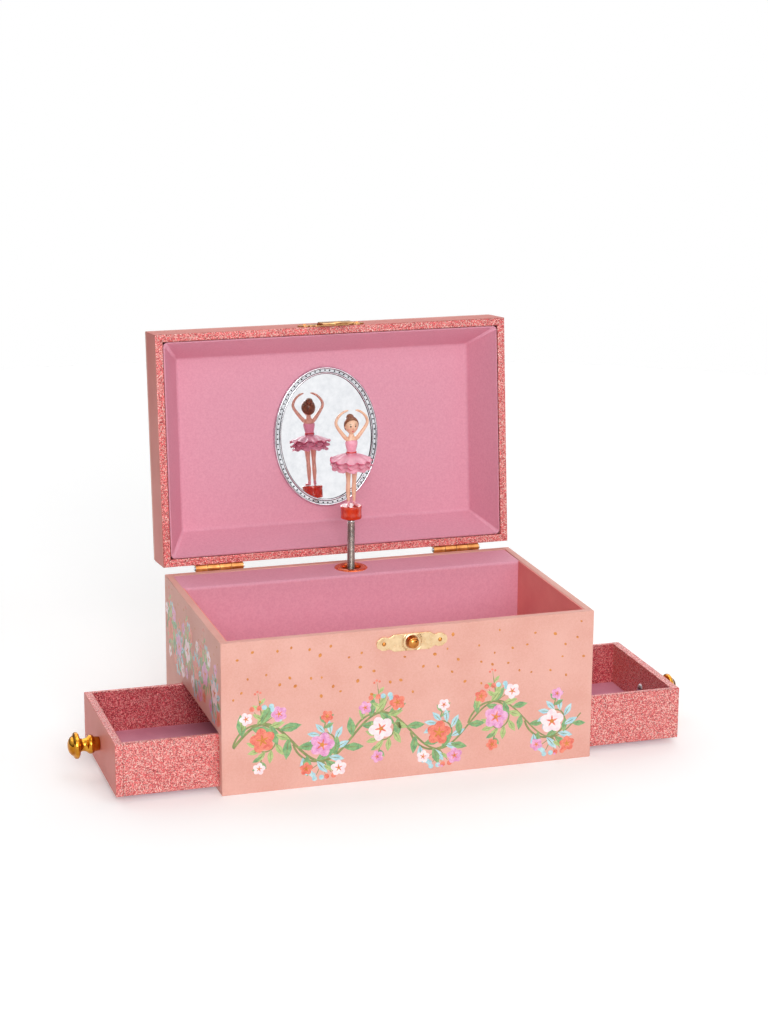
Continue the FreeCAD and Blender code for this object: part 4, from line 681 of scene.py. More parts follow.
walls = {
    "front": mitred_wall((left, front, lid_rim), (right, front + lid_wall, lid_ceiling), along_x, 1),
    "back": mitred_wall((left, back - lid_wall, lid_rim), (right, back, lid_ceiling), along_x, -1),
    "left": mitred_wall((left, front, lid_rim), (left + lid_wall, back, lid_ceiling), along_y, 1),
    "right": mitred_wall((right - lid_wall, front, lid_rim), (right, back, lid_ceiling), along_y, -1),
}
for side, wall in walls.items():
    piece(
        "lid_%s_mitred" % side, opened(wall), "lid", [peach_paper_painted_shade, rose_glitter],
        ["lid_%s_wall" % side])

# Lid print: an oval wreath of leaves and blossoms in the middle of the lid's top, with gold dots round it.
# It is printed on the paper like the garland, and drawn with the same motifs.
wreath_half = (66, 36)
wreath_turn = 0.0628
wreath_width, wreath_leaf = 1.4, 13.0
wreath_blossoms = (7.0, 5.4)
lid_print = bmesh.new()
wreath = [
    Vector((wreath_half[0] * math.cos(wreath_turn * step), wreath_half[1] * math.sin(wreath_turn * step)))
    for step in range(101)]
stalk(lid_print, wreath, wreath_width)
leafed(lid_print, wreath, 2, wreath_leaf, "leaf")
leafed(lid_print, wreath[1:], 3, curl_leaf, "sky", -1)
for count, step in enumerate(range(0, 100, 10)):
    blossom(lid_print, wreath[step], wreath_blossoms[count % 2], *blossom_inks[count % 3], draw.random())
gold_dots(lid_print, low=(-94, -58), high=(94, 58), count=90, keep_off=[(0, 0, 70, 40)], draw=draw)
lid_face = (0, lid_middle, lid_top - paper)
lid_print_piece = printed("lid_print", lid_print, "lid", lid_face, (1, 0, 0), (0, 1, 0))
swing = Matrix.Translation(hinge) @ lid_open.to_4x4() @ Matrix.Translation(-hinge)
lid_print_piece.data.transform(swing)

# Hasp: a stamped brass plate like the lock's, nailed to the outside of the lid's front wall.
# Its tongue is a strip of the same brass, bent out over the rim and slotted to a fork for the stud's neck.
hasp_brass = metal(
    "hasp_brass", srgb(176, 128, 84), srgb(214, 168, 116), rough=(0.24, 0.4), scratch=0.006 * mm)
hasp_rise = 5.6 * mm
tongue_half = 9 * mm
slot_half = 1.9 * mm
slot_top = lock_height + 2.0 * mm
hasp = stamped_plate()
boss(hasp)
upright(hasp, (0, lid_front, lid_rim + hasp_rise))
tongue = [
    (-0.8, 3.2), (-0.8, 1.9), (-1.95, 0.7), (-2.65, -0.4), (-2.65, -10.6), (-1.95, -10.6), (-1.95, 0.2),
    (0.0, 1.6)]
tongue_sheet = bmesh.new()
flat = tongue_sheet.faces.new(
    [tongue_sheet.verts.new((-tongue_half, lid_front + y * mm, lid_rim + z * mm)) for y, z in tongue])
grown = bmesh.ops.extrude_face_region(tongue_sheet, geom=[flat])["geom"]
bmesh.ops.translate(tongue_sheet, vec=(2 * tongue_half, 0, 0), verts=corners(grown))
scored(tongue_sheet, (-slot_half, 0, 0), (1, 0, 0))
scored(tongue_sheet, (slot_half, 0, 0), (1, 0, 0))
scored(tongue_sheet, (0, 0, slot_top), (0, 0, 1))
slot = []
for face in tongue_sheet.faces:
    centre = face.calc_center_median()
    if abs(centre.x) < slot_half and centre.z < slot_top:
        slot.append(face)
bmesh.ops.delete(tongue_sheet, geom=slot, context="FACES")
bmesh.ops.holes_fill(tongue_sheet, edges=[edge for edge in tongue_sheet.edges if edge.is_boundary], sides=0)
bmesh.ops.recalc_face_normals(tongue_sheet, faces=tongue_sheet.faces)
rounded(tongue_sheet, [edge for edge in tongue_sheet.edges if edge.calc_face_angle(0) > 1], 0.15 * mm, 2)
joined(hasp, tongue_sheet)
piece("lid_hasp_stamped", opened(hasp), "lid", [hasp_brass], ["lid_hasp"])
dressed(stud_gold, "box_nails", "lid_nails")

# Lid tray: one sheet of pink-covered card, folded at the corners and glued inside the lid.
# Its sides slope in to a flat back, and its pale cut edge shows just inside the rim.
tray_rim = 81.65 * mm
tray_back = 102.95 * mm
tray_card = 0.75 * mm
tray_half = (94.8 * mm, 58.5 * mm)
tray_back_half = (84.3 * mm, 48.0 * mm)
tray_fold = 1.2 * mm
card_edge = mottled(
    "pale_card_edge", srgb(226, 196, 200), srgb(244, 222, 222),
    patch=300, fibre=2400, depth=0.03 * mm, rough=(0.7, 0.85))
tray = bmesh.new()
bmesh.ops.create_grid(tray, x_segments=1, y_segments=1, size=1)
bmesh.ops.scale(tray, vec=(*tray_back_half, 1), verts=tray.verts)
bmesh.ops.translate(tray, vec=(0, lid_middle, tray_back), verts=tray.verts)
flat_back = tray.faces[:][0]
for reach, raised in ((2.4 * mm, 0), (0.35 * mm, -0.5 * mm), (0.35 * mm, 0.5 * mm)):
    bmesh.ops.inset_region(tray, faces=[flat_back], thickness=reach, depth=raised, use_even_offset=True)
rim_edges = [edge for edge in tray.edges if edge.is_boundary]
outer = corners(bmesh.ops.extrude_edge_only(tray, edges=rim_edges)["geom"])
flare = (tray_half[0] / tray_back_half[0], tray_half[1] / tray_back_half[1], 1)
bmesh.ops.scale(tray, vec=flare, verts=outer, space=Matrix.Translation((0, -lid_middle, 0)))
bmesh.ops.translate(tray, vec=(0, 0, tray_rim - tray_back), verts=outer)
bmesh.ops.recalc_face_normals(tray, faces=tray.faces)
if flat_back.normal.z > 0:
    bmesh.ops.reverse_faces(tray, faces=tray.faces)
corner_folds = [edge for edge in tray.edges if abs(edge.verts[0].co.z - edge.verts[1].co.z) > mm]
rounded(tray, corner_folds + rim_edges, tray_fold, 4)
bmesh.ops.solidify(tray, geom=tray.faces[:], thickness=tray_card)
for face in tray.faces:
    face.material_index = 1 if face.calc_center_median().z < tray_rim + hairline else 0
piece("lid_tray_folded", opened(tray), "lid", [pink_card, card_edge], ["lid_tray"])

# Mirror: an oval of silvered glass in a moulded frame with a metal coat.
# Two round beads edge the frame, with a row of small studs in the flat between them; studs and bead grooves
# are painted near-black as painted reflection and shade.
frame_half = (30.3, 39.4)
frame_edge = 1.2
stud_ring = (28.35, 37.45)
stud_radius = 0.5
stud_lift = 1.62
stud_count = 72
bright_coat = metal(
    "metal_coated_plastic", srgb(196, 198, 204), srgb(236, 238, 242), rough=(0.08, 0.2), scratch=0.002 * mm)
# Near-black metal for the studs and the bead grooves: painted reflection and shade.
painted_shade_metal = metal(
    "frame_painted_shade_and_reflection", srgb(34, 32, 38), srgb(62, 58, 66), rough=(0.25, 0.4), scratch=0.002 * mm)
silvering = metal(
    "silvered_glass", srgb(232, 234, 238), srgb(246, 247, 250), rough=(0.015, 0.03), scratch=0.0)
oval = bmesh.new()
bmesh.ops.create_circle(oval, cap_ends=True, segments=112, radius=1)
bmesh.ops.scale(oval, vec=(*frame_half, 1), verts=oval.verts)
bmesh.ops.reverse_faces(oval, faces=oval.faces)
grown = bmesh.ops.extrude_face_region(oval, geom=oval.faces[:])["geom"]
bmesh.ops.translate(oval, vec=(0, 0, -frame_edge), verts=corners(grown))
sight = next(face for face in oval.faces if len(face.verts) > 10)
if sight.normal.z > 0:
    bmesh.ops.reverse_faces(oval, faces=oval.faces)
# Rings marked 1 take the near-black metal: painted shade and reflection in the grooves.
for width, rise, shade in (
        (0.14, 0.5, 0), (0.28, 0.36, 0), (0.34, 0.08, 0), (0.3, -0.2, 0), (0.26, -0.34, 1), (1.5, 0.06, 0),
        (0.26, 0.2, 1), (0.2, 0.24, 0), (0.26, 0.04, 0), (0.24, -0.24, 0), (0.24, -0.4, 1)):
    ring_faces = bmesh.ops.inset_region(
        oval, faces=[sight], thickness=width, depth=rise, use_even_offset=True)["faces"]
    for face in ring_faces:
        face.material_index = shade
inner_edges = sight.edges[:]
bmesh.ops.delete(oval, geom=[sight], context="FACES_ONLY")
for vert in corners(bmesh.ops.extrude_edge_only(oval, edges=inner_edges)["geom"]):
    vert.co.z = 0
bmesh.ops.bridge_loops(oval, edges=[edge for edge in oval.edges if edge.is_boundary])
bmesh.ops.recalc_face_normals(oval, faces=oval.faces)
for face in oval.faces:
    face.smooth = abs(face.normal.z) < 0.99
lay_mirror = Matrix.Translation((0, lid_middle, tray_back)) @ Matrix.Scale(mm, 4)
bmesh.ops.transform(oval, matrix=lay_mirror, verts=oval.verts)
piece("mirror_frame_moulded", opened(oval), "lid", [bright_coat, painted_shade_metal], ["mirror_frame"])
studs = bmesh.new()
stud_path = [
    Vector((stud_ring[0] * math.cos(step / 400 * math.pi), stud_ring[1] * math.sin(step / 400 * math.pi)))
    for step in range(801)]
path_length = sum((b - a).length for a, b in zip(stud_path, stud_path[1:]))
gone, due = 0.0, 0.0
for a, b in zip(stud_path, stud_path[1:]):
    gone += (b - a).length
    if gone >= due:
        due += path_length / stud_count
        bmesh.ops.create_uvsphere(
            studs, u_segments=8, v_segments=5, radius=stud_radius,
            matrix=Matrix.Translation((b.x, b.y, -stud_lift)))
for face in studs.faces:
    face.smooth = True
bmesh.ops.transform(studs, matrix=lay_mirror, verts=studs.verts)
# The studs are painted near-black, as painted reflection and shade.
piece("mirror_frame_studs", opened(studs), "lid", [painted_shade_metal])
dressed(silvering, "mirror_glass")

# Hinges: two stamped brass butt hinges, each with four knuckles on a steel pin.
# Their leaves are nailed to the backs of the case and the lid.
hinge_brass = metal(
    "hinge_brass", srgb(176, 112, 62), srgb(214, 158, 96), rough=(0.22, 0.4), scratch=0.006 * mm)
pin_steel = metal(
    "bright_steel", srgb(150, 150, 154), srgb(200, 200, 204), rough=(0.2, 0.36), scratch=0.004 * mm)
dressed(
    hinge_brass, "hinge_leaf_body_left", "hinge_leaf_body_right", "hinge_leaf_lid_left",
    "hinge_leaf_lid_right")
dressed(pin_steel, "hinge_pins")

# Drawers: an end board in the peach paper painted darker as painted shade, three thin walls in rose glitter
# paper, a mauve floor.
# The walls stand 28 mm high, and the end board's top and inside are faced with the glitter too; inside the
# drawer the walls' glitter is painted darker as painted shade.
drawer_front, drawer_back = -58.2 * mm, 25.0 * mm
drawer_bottom, drawer_top = 3.3 * mm, 31.3 * mm
drawer_outer = 153 * mm
drawer_end = 4.2 * mm
drawer_length = 97.5 * mm
drawer_side = 2.6 * mm
drawer_round = 0.4 * mm
outer_skin = 1.5 * mm
# Glitter painted darker for the drawers' inner faces: painted shade.
glitter_painted_shade = glittered(
    "glitter_paper_painted_shade", srgb(100, 10, 22), srgb(190, 60, 70), srgb(255, 180, 174), flake)
mauve_card = mottled(
    "mauve_floor_card", srgb(206, 134, 158), srgb(222, 154, 176),
    patch=80, fibre=1400, depth=0.05 * mm, rough=(0.6, 0.76))
for side, sign in (("left", -1), ("right", 1)):
    body = "drawer_" + side
    ends = sorted((sign * (drawer_outer - paper), sign * (drawer_outer - drawer_end)))
    board = block((ends[0], drawer_front, drawer_bottom), (ends[1], drawer_back, drawer_top))
    rounded(board, board.edges[:], drawer_round)
    for face in board.faces:
        face.material_index = 0 if face.normal.x * sign > 0.7 else 1
    piece(
        body + "_end_wrapped", board, body, [peach_paper_painted_shade, rose_glitter],
        [body + "_end_board"])
    inner = sign * (drawer_outer - drawer_length)
    ends = sorted((sign * (drawer_outer - drawer_end), inner))
    tub = block((ends[0], drawer_front, drawer_bottom), (ends[1], drawer_back, drawer_top))
    lids = [face for face in tub.faces if abs(face.normal.z) > 0.9]
    bmesh.ops.delete(tub, geom=lids, context="FACES_ONLY")
    open_end = [face for face in tub.faces if face.normal.x * sign > 0.9]
    bmesh.ops.delete(tub, geom=open_end, context="FACES_ONLY")
    bmesh.ops.solidify(tub, geom=tub.faces[:], thickness=drawer_side)
    bmesh.ops.recalc_face_normals(tub, faces=tub.faces)
    wrapped = [
        edge for edge in tub.edges
        if edge.calc_face_angle(0) > 1 and abs(middle(edge).x - ends[sign > 0]) > mm]
    rounded(tub, wrapped, drawer_round)
    # Wall faces well inside the drawer take the darker glitter: painted shade.
    for face in tub.faces:
        centre = face.calc_center_median()
        deep = drawer_front + outer_skin < centre.y < drawer_back - outer_skin and abs(face.normal.z) < 0.5
        inside = deep and abs(centre.x - inner) > outer_skin
        face.material_index = 1 if inside else 0
    piece(
        body + "_walls_wrapped", tub, body, [rose_glitter, glitter_painted_shade],
        [body + "_walls"])
dressed(mauve_card, "drawer_left_floor", "drawer_right_floor")

# Drawer knobs: turned brass with a flared foot, a round collar, a waisted neck and a domed head.
# A steel screw from inside the drawer holds each one.
knob_gold = metal(
    "knob_gold", srgb(166, 98, 18), srgb(222, 162, 58), rough=(0.05, 0.12), scratch=0.002 * mm)
knob_profile = [
    (0, 0), (3.4, 0), (3.65, 0.3), (3.8, 1.6), (3.98, 2.7), (4.5, 3.2), (4.9, 4.0), (5.0, 4.7), (4.9, 5.4),
    (4.5, 6.1), (4.0, 6.5), (3.5, 7.3), (3.22, 8.4), (3.4, 9.5), (3.95, 10.3), (5.2, 10.5), (6.2, 10.8),
    (6.85, 11.4), (7.0, 12.1), (6.85, 12.9), (6.2, 13.5), (5.4, 13.75), (5.1, 14.1), (4.6, 14.9), (3.4, 15.8),
    (1.8, 16.35), (0, 16.5)]
for side, sign in (("left", -1), ("right", 1)):
    body = "drawer_" + side
    base = (sign * drawer_outer, (drawer_front + drawer_back) / 2, (drawer_bottom + drawer_top) / 2)
    knob = turned(knob_profile, base, (sign, 0, 0), 48)
    piece(body + "_knob_turned", knob, body, [knob_gold], [body + "_knob"])
dressed(pin_steel, "drawer_left_knob_screw", "drawer_right_knob_screw")

# Dancer's spring: hard-drawn steel wire, close-wound, that lets the dancer fold under the lid.
# Its foot is soldered to the movement's spindle, and a rounded cap closes its top.
spring_foot = 78.0 * mm
spring_top = 106.6 * mm
spring_radius = 1.85 * mm
spring_wire = 0.66 * mm
spring_pitch = 0.7 * mm
spring_steel = metal(
    "spring_steel", srgb(150, 144, 138), srgb(196, 188, 180), rough=(0.16, 0.26), scratch=0.0)
coil_height = spring_top - spring_foot - spring_wire
coil_turns = int(coil_height / spring_pitch)
coil_steps = 22
coil = bmesh.new()
bmesh.ops.create_circle(
    coil, cap_ends=True, segments=8, radius=spring_wire / 2,
    matrix=Matrix.Translation((spring_radius, 0, 0)) @ Matrix.Rotation(math.pi / 2, 4, "X"))
bmesh.ops.spin(
    coil, geom=coil.verts[:] + coil.edges[:] + coil.faces[:], cent=(0, 0, 0), axis=(0, 0, 1),
    dvec=(0, 0, coil_height / coil_turns / coil_steps), angle=2 * math.pi * coil_turns,
    steps=coil_turns * coil_steps, use_merge=False)
bmesh.ops.remove_doubles(coil, verts=coil.verts, dist=0.001 * mm)
bmesh.ops.translate(coil, vec=spindle + Vector((0, 0, spring_foot + spring_wire / 2)), verts=coil.verts)
bmesh.ops.recalc_face_normals(coil, faces=coil.faces)
for face in coil.faces:
    face.smooth = True
spring_data = bpy.data.meshes.new("dancer_spring_wound")
coil.to_mesh(spring_data)
coil.free()
spring_data.materials.append(spring_steel)
spring = bpy.data.objects.new("dancer_spring_wound", spring_data)
bpy.context.collection.objects.link(spring)
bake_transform(spring)
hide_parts("dancer_spring")
cap_steel = metal(
    "cap_steel", srgb(176, 174, 174), srgb(220, 218, 216), rough=(0.14, 0.26), scratch=0.002 * mm)
cap_profile = [
    (0, 0), (2.1, 0), (2.2, 0.12), (2.2, 0.7), (2.05, 1.05), (1.6, 1.35), (0.95, 1.55), (0.8, 1.7),
    (0.8, 5.9), (0.6, 6.1), (0, 6.1)]
cap = turned(cap_profile, spindle + Vector((0, 0, spring_top)), (0, 0, 1), 32)
piece("spring_cap_turned", cap, "dancer_carrier", [cap_steel], ["spring_cap"])

# Plug: a short lacquered peg that stands on the cap's pin and carries the dancer's feet.
# Thick red-orange lacquer rounds its edges.
red_lacquer = mottled(
    "red_orange_lacquer", srgb(206, 44, 12), srgb(232, 70, 24),
    patch=320, fibre=900, depth=0.03 * mm, rough=(0.14, 0.26),
    Coat_Weight=0.7, Coat_Roughness=0.05)
plug_profile = [
    (0.9, 0), (5.4, 0), (5.75, 0.15), (5.9, 0.5), (5.8, 2.2), (5.8, 5.4), (5.92, 6.2), (5.85, 6.8),
    (5.5, 7.1), (0, 7.1), (0, 4.2), (0.9, 4.2), (0.9, 0)]
plug_foot = spindle + Vector((0, 0, 108.7 * mm))
plug = turned(plug_profile, plug_foot, (0, 0, 1), 40)
piece("dancer_plug_lacquered", plug, "dancer", [red_lacquer], ["dancer_plug"])

# Dancer: a cast resin ballerina, painted by hand, with rounded arms, a bun and soft shoes.
# The body, hair, bodice and shoes are separate colours on one casting.
stage_top = spindle + Vector((0, 0, 115.8 * mm))
skin = mottled(
    "painted_skin", srgb(238, 184, 152), srgb(248, 204, 174),
    patch=500, fibre=1600, depth=0.01 * mm, rough=(0.32, 0.42),
    Coat_Weight=0.2)
hair_paint, hair_shader = finish("painted_hair", Roughness=0.42, Coat_Weight=0.25)
combed = wired(hair_paint, "ShaderNodeMapping", {"Vector": where(hair_paint), "Scale": (2600, 2600, 500)})
hair_strand = wired(
    hair_paint, "ShaderNodeTexNoise", {"Vector": combed.outputs[0], "Scale": 1.0, "Detail": 3.0})
hair_tone = tones(
    hair_paint, hair_strand.outputs[0], (0.35, srgb(92, 48, 26)), (0.65, srgb(158, 94, 50)))
into(hair_paint, hair_tone, hair_shader, "Base Color")
relief(hair_paint, hair_shader, hair_strand.outputs[0], 0.12 * mm)
rose_paint = mottled(
    "painted_rose_bodice", srgb(238, 148, 172), srgb(250, 178, 196),
    patch=420, fibre=1500, depth=0.015 * mm, rough=(0.3, 0.42),
    Coat_Weight=0.3)
shoe_paint = mottled(
    "painted_satin_shoes", srgb(240, 150, 164), srgb(252, 190, 196),
    patch=420, fibre=1500, depth=0.01 * mm, rough=(0.22, 0.34),
    Coat_Weight=0.3)
sash_paint = mottled(
    "painted_coral_sash", srgb(214, 58, 58), srgb(234, 88, 80),
    patch=420, fibre=1500, depth=0.01 * mm, rough=(0.25, 0.36),
    Coat_Weight=0.3)
eye_paint = mottled(
    "painted_eyes", srgb(52, 34, 28), srgb(74, 48, 36),
    patch=800, fibre=2000, depth=0.0, rough=(0.1, 0.2), Coat_Weight=0.6)
lip_paint = mottled(
    "painted_lips", srgb(206, 84, 88), srgb(222, 104, 104),
    patch=800, fibre=2000, depth=0.0, rough=(0.25, 0.35))
cheek_paint = mottled(
    "painted_blush", srgb(240, 160, 142), srgb(244, 174, 152),
    patch=800, fibre=2000, depth=0.0, rough=(0.36, 0.44))


def station(point, direction, width, depth):
    turn = Vector((0, 0, 1)).rotation_difference(direction).to_matrix().to_4x4()
    return Matrix.Translation(point) @ turn @ Matrix.Diagonal((width / 2, depth / 2, 1, 1))


def lofted(mesh, rings, material, sides=14):
    """A limb or trunk drawn through rings, each a point with a width and a depth, in millimetres."""
    points = [Vector(ring[0]) for ring in rings]
    frames = []
    for count, ring in enumerate(rings):
        ahead = points[min(count + 1, len(points) - 1)] - points[max(count - 1, 0)]
        frames.append(station(points[count], ahead.normalized(), ring[1], ring[2]))
    verts = bmesh.ops.create_circle(mesh, cap_ends=True, segments=sides, radius=1)["verts"]
    bmesh.ops.transform(mesh, matrix=frames[0], verts=verts)
    first_cap = verts[0].link_faces[0]
    edges = first_cap.edges[:]
    shells = [first_cap]
    for before, after in zip(frames, frames[1:]):
        grown = bmesh.ops.extrude_edge_only(mesh, edges=edges)["geom"]
        fresh = corners(grown)
        bmesh.ops.transform(mesh, matrix=after @ before.inverted(), verts=fresh)
        shells += [item for item in grown if isinstance(item, bmesh.types.BMFace)]
        edges = [
            item for item in grown
            if isinstance(item, bmesh.types.BMEdge) and all(vert in fresh for vert in item.verts)]
    shells += bmesh.ops.contextual_create(mesh, geom=edges)["faces"]
    bmesh.ops.recalc_face_normals(mesh, faces=shells)
    for face in shells:
        face.smooth = True
        face.material_index = material
    return shells


def smoothed(made, levels=2):
    """Rounds a piece off with a subdivision surface."""
    modifier = made.modifiers.new("round", "SUBSURF")
    modifier.levels = levels
    modifier.render_levels = levels
    return made


def on_dancer(mesh):
    bmesh.ops.transform(mesh, matrix=Matrix.Translation(stage_top) @ Matrix.Scale(mm, 4), verts=mesh.verts)
    return mesh


SKIN, BODICE, SHOE = 0, 1, 2
figure = bmesh.new()
for sign in (-1, 1):
    leg = [
        ((sign * 1.6, 0.1, 2.2), 1.5, 1.6), ((sign * 1.62, 0.1, 3.6), 1.7, 1.75),
        ((sign * 1.64, 0.35, 7.0), 2.4, 2.6), ((sign * 1.66, 0.4, 9.5), 2.7, 2.9),
        ((sign * 1.68, 0.1, 13.0), 2.2, 2.3), ((sign * 1.72, -0.1, 15.0), 2.4, 2.5),
        ((sign * 1.8, 0, 19.0), 3.2, 3.4), ((sign * 1.9, 0, 23.0), 4.0, 4.2),
        ((sign * 1.9, 0, 27.0), 4.2, 4.4)]
    shoe = [
        ((sign * 2.96, -3.9, 0.42), 0.5, 0.4), ((sign * 2.86, -3.6, 0.55), 1.3, 0.95),
        ((sign * 2.5, -2.5, 0.72), 1.8, 1.3), ((sign * 2.1, -1.2, 0.86), 1.9, 1.6),
        ((sign * 1.7, 0.1, 1.0), 1.9, 1.8), ((sign * 1.55, 0.8, 1.05), 1.5, 1.6),
        ((sign * 1.5, 1.1, 1.1), 0.6, 0.8)]
    ankle = [
        ((sign * 1.66, 0.05, 0.9), 1.7, 2.0), ((sign * 1.62, 0.1, 2.2), 1.75, 1.85),
        ((sign * 1.61, 0.1, 2.9), 1.7, 1.8)]
    arm = [
        ((sign * 2.3, 0.1, 37.0), 2.2, 2.2), ((sign * 3.4, 0, 38.1), 2.4, 2.4),
        ((sign * 5.4, -0.2, 40.6), 2.1, 2.1), ((sign * 7.6, -0.3, 43.6), 1.9, 1.9),
        ((sign * 8.9, -0.3, 45.8), 1.8, 1.8), ((sign * 9.0, -0.4, 47.6), 1.75, 1.75),
        ((sign * 7.9, -0.5, 49.9), 1.6, 1.6), ((sign * 6.3, -0.6, 51.6), 1.35, 1.35),
        ((sign * 4.9, -0.7, 52.6), 1.3, 1.2), ((sign * 3.6, -0.8, 53.2), 1.3, 0.95),
        ((sign * 2.5, -0.8, 53.5), 0.9, 0.7), ((sign * 1.9, -0.8, 53.55), 0.3, 0.3)]
    lofted(figure, leg, SKIN)
    lofted(figure, shoe, SHOE)
    lofted(figure, ankle, SHOE)
    lofted(figure, arm, SKIN)
shoulders = [
    ((0, 0.1, 35.4), 6.6, 4.4), ((0, 0.1, 37.0), 6.4, 4.2), ((0, 0.1, 38.4), 4.6, 3.2),
    ((0, 0, 39.2), 2.8, 2.6), ((0, 0, 40.4), 2.4, 2.4), ((0, 0, 42.4), 2.4, 2.4)]
bodice = [
    ((0, 0, 24.6), 7.6, 5.6), ((0, 0, 26.5), 7.8, 5.8), ((0, 0, 28.6), 6.0, 4.6), ((0, 0, 30.2), 5.2, 4.0),
    ((0, 0, 31.6), 5.4, 4.2), ((0, -0.1, 33.8), 6.6, 5.0), ((0, -0.15, 35.2), 7.1, 5.3),
    ((0, -0.1, 36.3), 6.7, 4.8), ((0, 0, 36.5), 6.2, 4.3)]
lofted(figure, shoulders, SKIN, 18)
lofted(figure, bodice, BODICE, 18)
body_piece = piece(
    "dancer_body_cast", on_dancer(figure), "dancer", [skin, rose_paint, shoe_paint],
    ["dancer_figure"])
smoothed(body_piece)

head_half = (3.75, 3.8, 4.6)
head_height = 44.8
chin_taper, chin_tuck = 0.26, 0.1
head = bmesh.new()
bmesh.ops.create_uvsphere(head, u_segments=28, v_segments=20, radius=1)
for vert in head.verts:
    low = max(0, -vert.co.z)
    vert.co.x *= head_half[0] * (1 - chin_taper * low * low)
    vert.co.y *= head_half[1] * (1 - chin_tuck * low)
    vert.co.z *= head_half[2]
bmesh.ops.translate(head, vec=(0, 0, head_height), verts=head.verts)
bmesh.ops.create_uvsphere(
    head, u_segments=10, v_segments=8, radius=1,
    matrix=Matrix.Translation((0, -3.72, 43.9)) @ Matrix.Diagonal((0.42, 0.55, 0.5, 1)))
for sign in (-1, 1):
    bmesh.ops.create_uvsphere(
        head, u_segments=10, v_segments=8, radius=1,
        matrix=Matrix.Translation((sign * 3.55, 0.2, 44.3)) @ Matrix.Diagonal((0.35, 0.55, 0.8, 1)))
for face in head.faces:
    face.smooth = True
piece("dancer_head_cast", on_dancer(head), "dancer", [skin])

features = bmesh.new()
EYE, LIP, BLUSH = 0, 1, 2


def touch(place, size, turn, material):
    """A flattened drop of paint on the face."""
    lay = Matrix.Translation(place) @ Matrix.Rotation(turn, 4, "Z") @ Matrix.Diagonal((*size, 1))
    verts = bmesh.ops.create_uvsphere(features, u_segments=12, v_segments=8, radius=1, matrix=lay)["verts"]
    for face in {face for vert in verts for face in vert.link_faces}:
        face.smooth = True
        face.material_index = material


for sign in (-1, 1):
    touch((sign * 1.35, -3.52, 45.1), (0.42, 0.16, 0.52), sign * 0.32, EYE)
    touch((sign * 1.45, -3.42, 46.3), (0.62, 0.14, 0.1), sign * 0.36, EYE)
    touch((sign * 2.0, -2.9, 43.4), (0.66, 0.1, 0.46), sign * 0.61, BLUSH)
touch((0, -2.98, 42.25), (0.62, 0.14, 0.2), 0, LIP)
touch((0, -2.86, 42.0), (0.42, 0.16, 0.16), 0, LIP)
piece("dancer_face_paint", on_dancer(features), "dancer", [eye_paint, lip_paint, cheek_paint])

hair = bmesh.new()
bmesh.ops.create_uvsphere(hair, u_segments=32, v_segments=22, radius=1)
bmesh.ops.scale(hair, vec=(4.1, 4.15, 4.75), verts=hair.verts)
bmesh.ops.translate(hair, vec=(0, 0.25, 45.2), verts=hair.verts)
scored(hair, (0, -1.9, 47.4), Vector((0, -1, -0.62)).normalized(), clear_outer=True)
bmesh.ops.holes_fill(hair, edges=[edge for edge in hair.edges if edge.is_boundary], sides=0)
bmesh.ops.create_uvsphere(
    hair, u_segments=20, v_segments=14, radius=1,
    matrix=Matrix.Translation((0, 2.7, 48.7)) @ Matrix.Diagonal((2.25, 2.1, 2.1, 1)))
for face in hair.faces:
    face.smooth = len(face.verts) < 6
piece("dancer_hair_cast", on_dancer(hair), "dancer", [hair_paint])

ribbons = bmesh.new()
sash_height = 30.1 * mm
sash_radius = 2.85
sash_half = 0.42
sash_flatness = 0.79
sash = [
    (sash_radius - 0.3, -sash_half), (sash_radius, -sash_half * 0.8), (sash_radius + 0.16, 0),
    (sash_radius, sash_half * 0.8), (sash_radius - 0.3, sash_half)]
turned(sash, (0, 0, sash_height), (0, 0, 1), 32, ribbons)
bmesh.ops.scale(ribbons, vec=(1 / mm, sash_flatness / mm, 1 / mm), verts=ribbons.verts)
tie_profile = [(1.6, -0.3), (2.02, -0.22), (2.1, 0), (2.02, 0.22), (1.6, 0.3)]
tie = turned(tie_profile, (0, 2.0 * mm, 47.55 * mm), (0, 0.62, 0.78), 28)
bmesh.ops.scale(tie, vec=to_millimetres, verts=tie.verts)
joined(ribbons, tie)
piece("dancer_ribbons", on_dancer(ribbons), "dancer", [sash_paint])

# Tutu: three gathered layers of net, cast with the figure and brushed with a deeper pink at the hem.
# Each layer waves in soft flutes that grow towards the hem.
tutu_paint, tutu_shader = finish("painted_tutu", Roughness=0.4, Coat_Weight=0.2)
from_spindle = wired(
    tutu_paint, "ShaderNodeVectorMath", {0: where(tutu_paint), 1: (-spindle.x, -spindle.y, 0.0)},
    operation="ADD")
flat_place = wired(
    tutu_paint, "ShaderNodeVectorMath", {0: from_spindle.outputs[0], 1: (1.0, 1.0, 0.0)},
    operation="MULTIPLY")
reach = wired(tutu_paint, "ShaderNodeVectorMath", {0: flat_place.outputs[0]}, operation="LENGTH")
hem = wired(
    tutu_paint, "ShaderNodeMapRange",
    {"Value": reach.outputs["Value"], "From Min": 3.5 * mm, "From Max": 12 * mm})
tutu_tone = tones(
    tutu_paint, hem.outputs[0], (0.0, srgb(240, 150, 176)), (0.45, srgb(250, 188, 204)),
    (0.86, srgb(248, 178, 198)), (0.97, srgb(222, 84, 122)))
into(tutu_paint, tutu_tone, tutu_shader, "Base Color")
relief(tutu_paint, tutu_shader, noise(tutu_paint, 1800, 2.0), 0.02 * mm)
waist = 3.2
tutu_thickness = 0.3
tutu = bmesh.new()
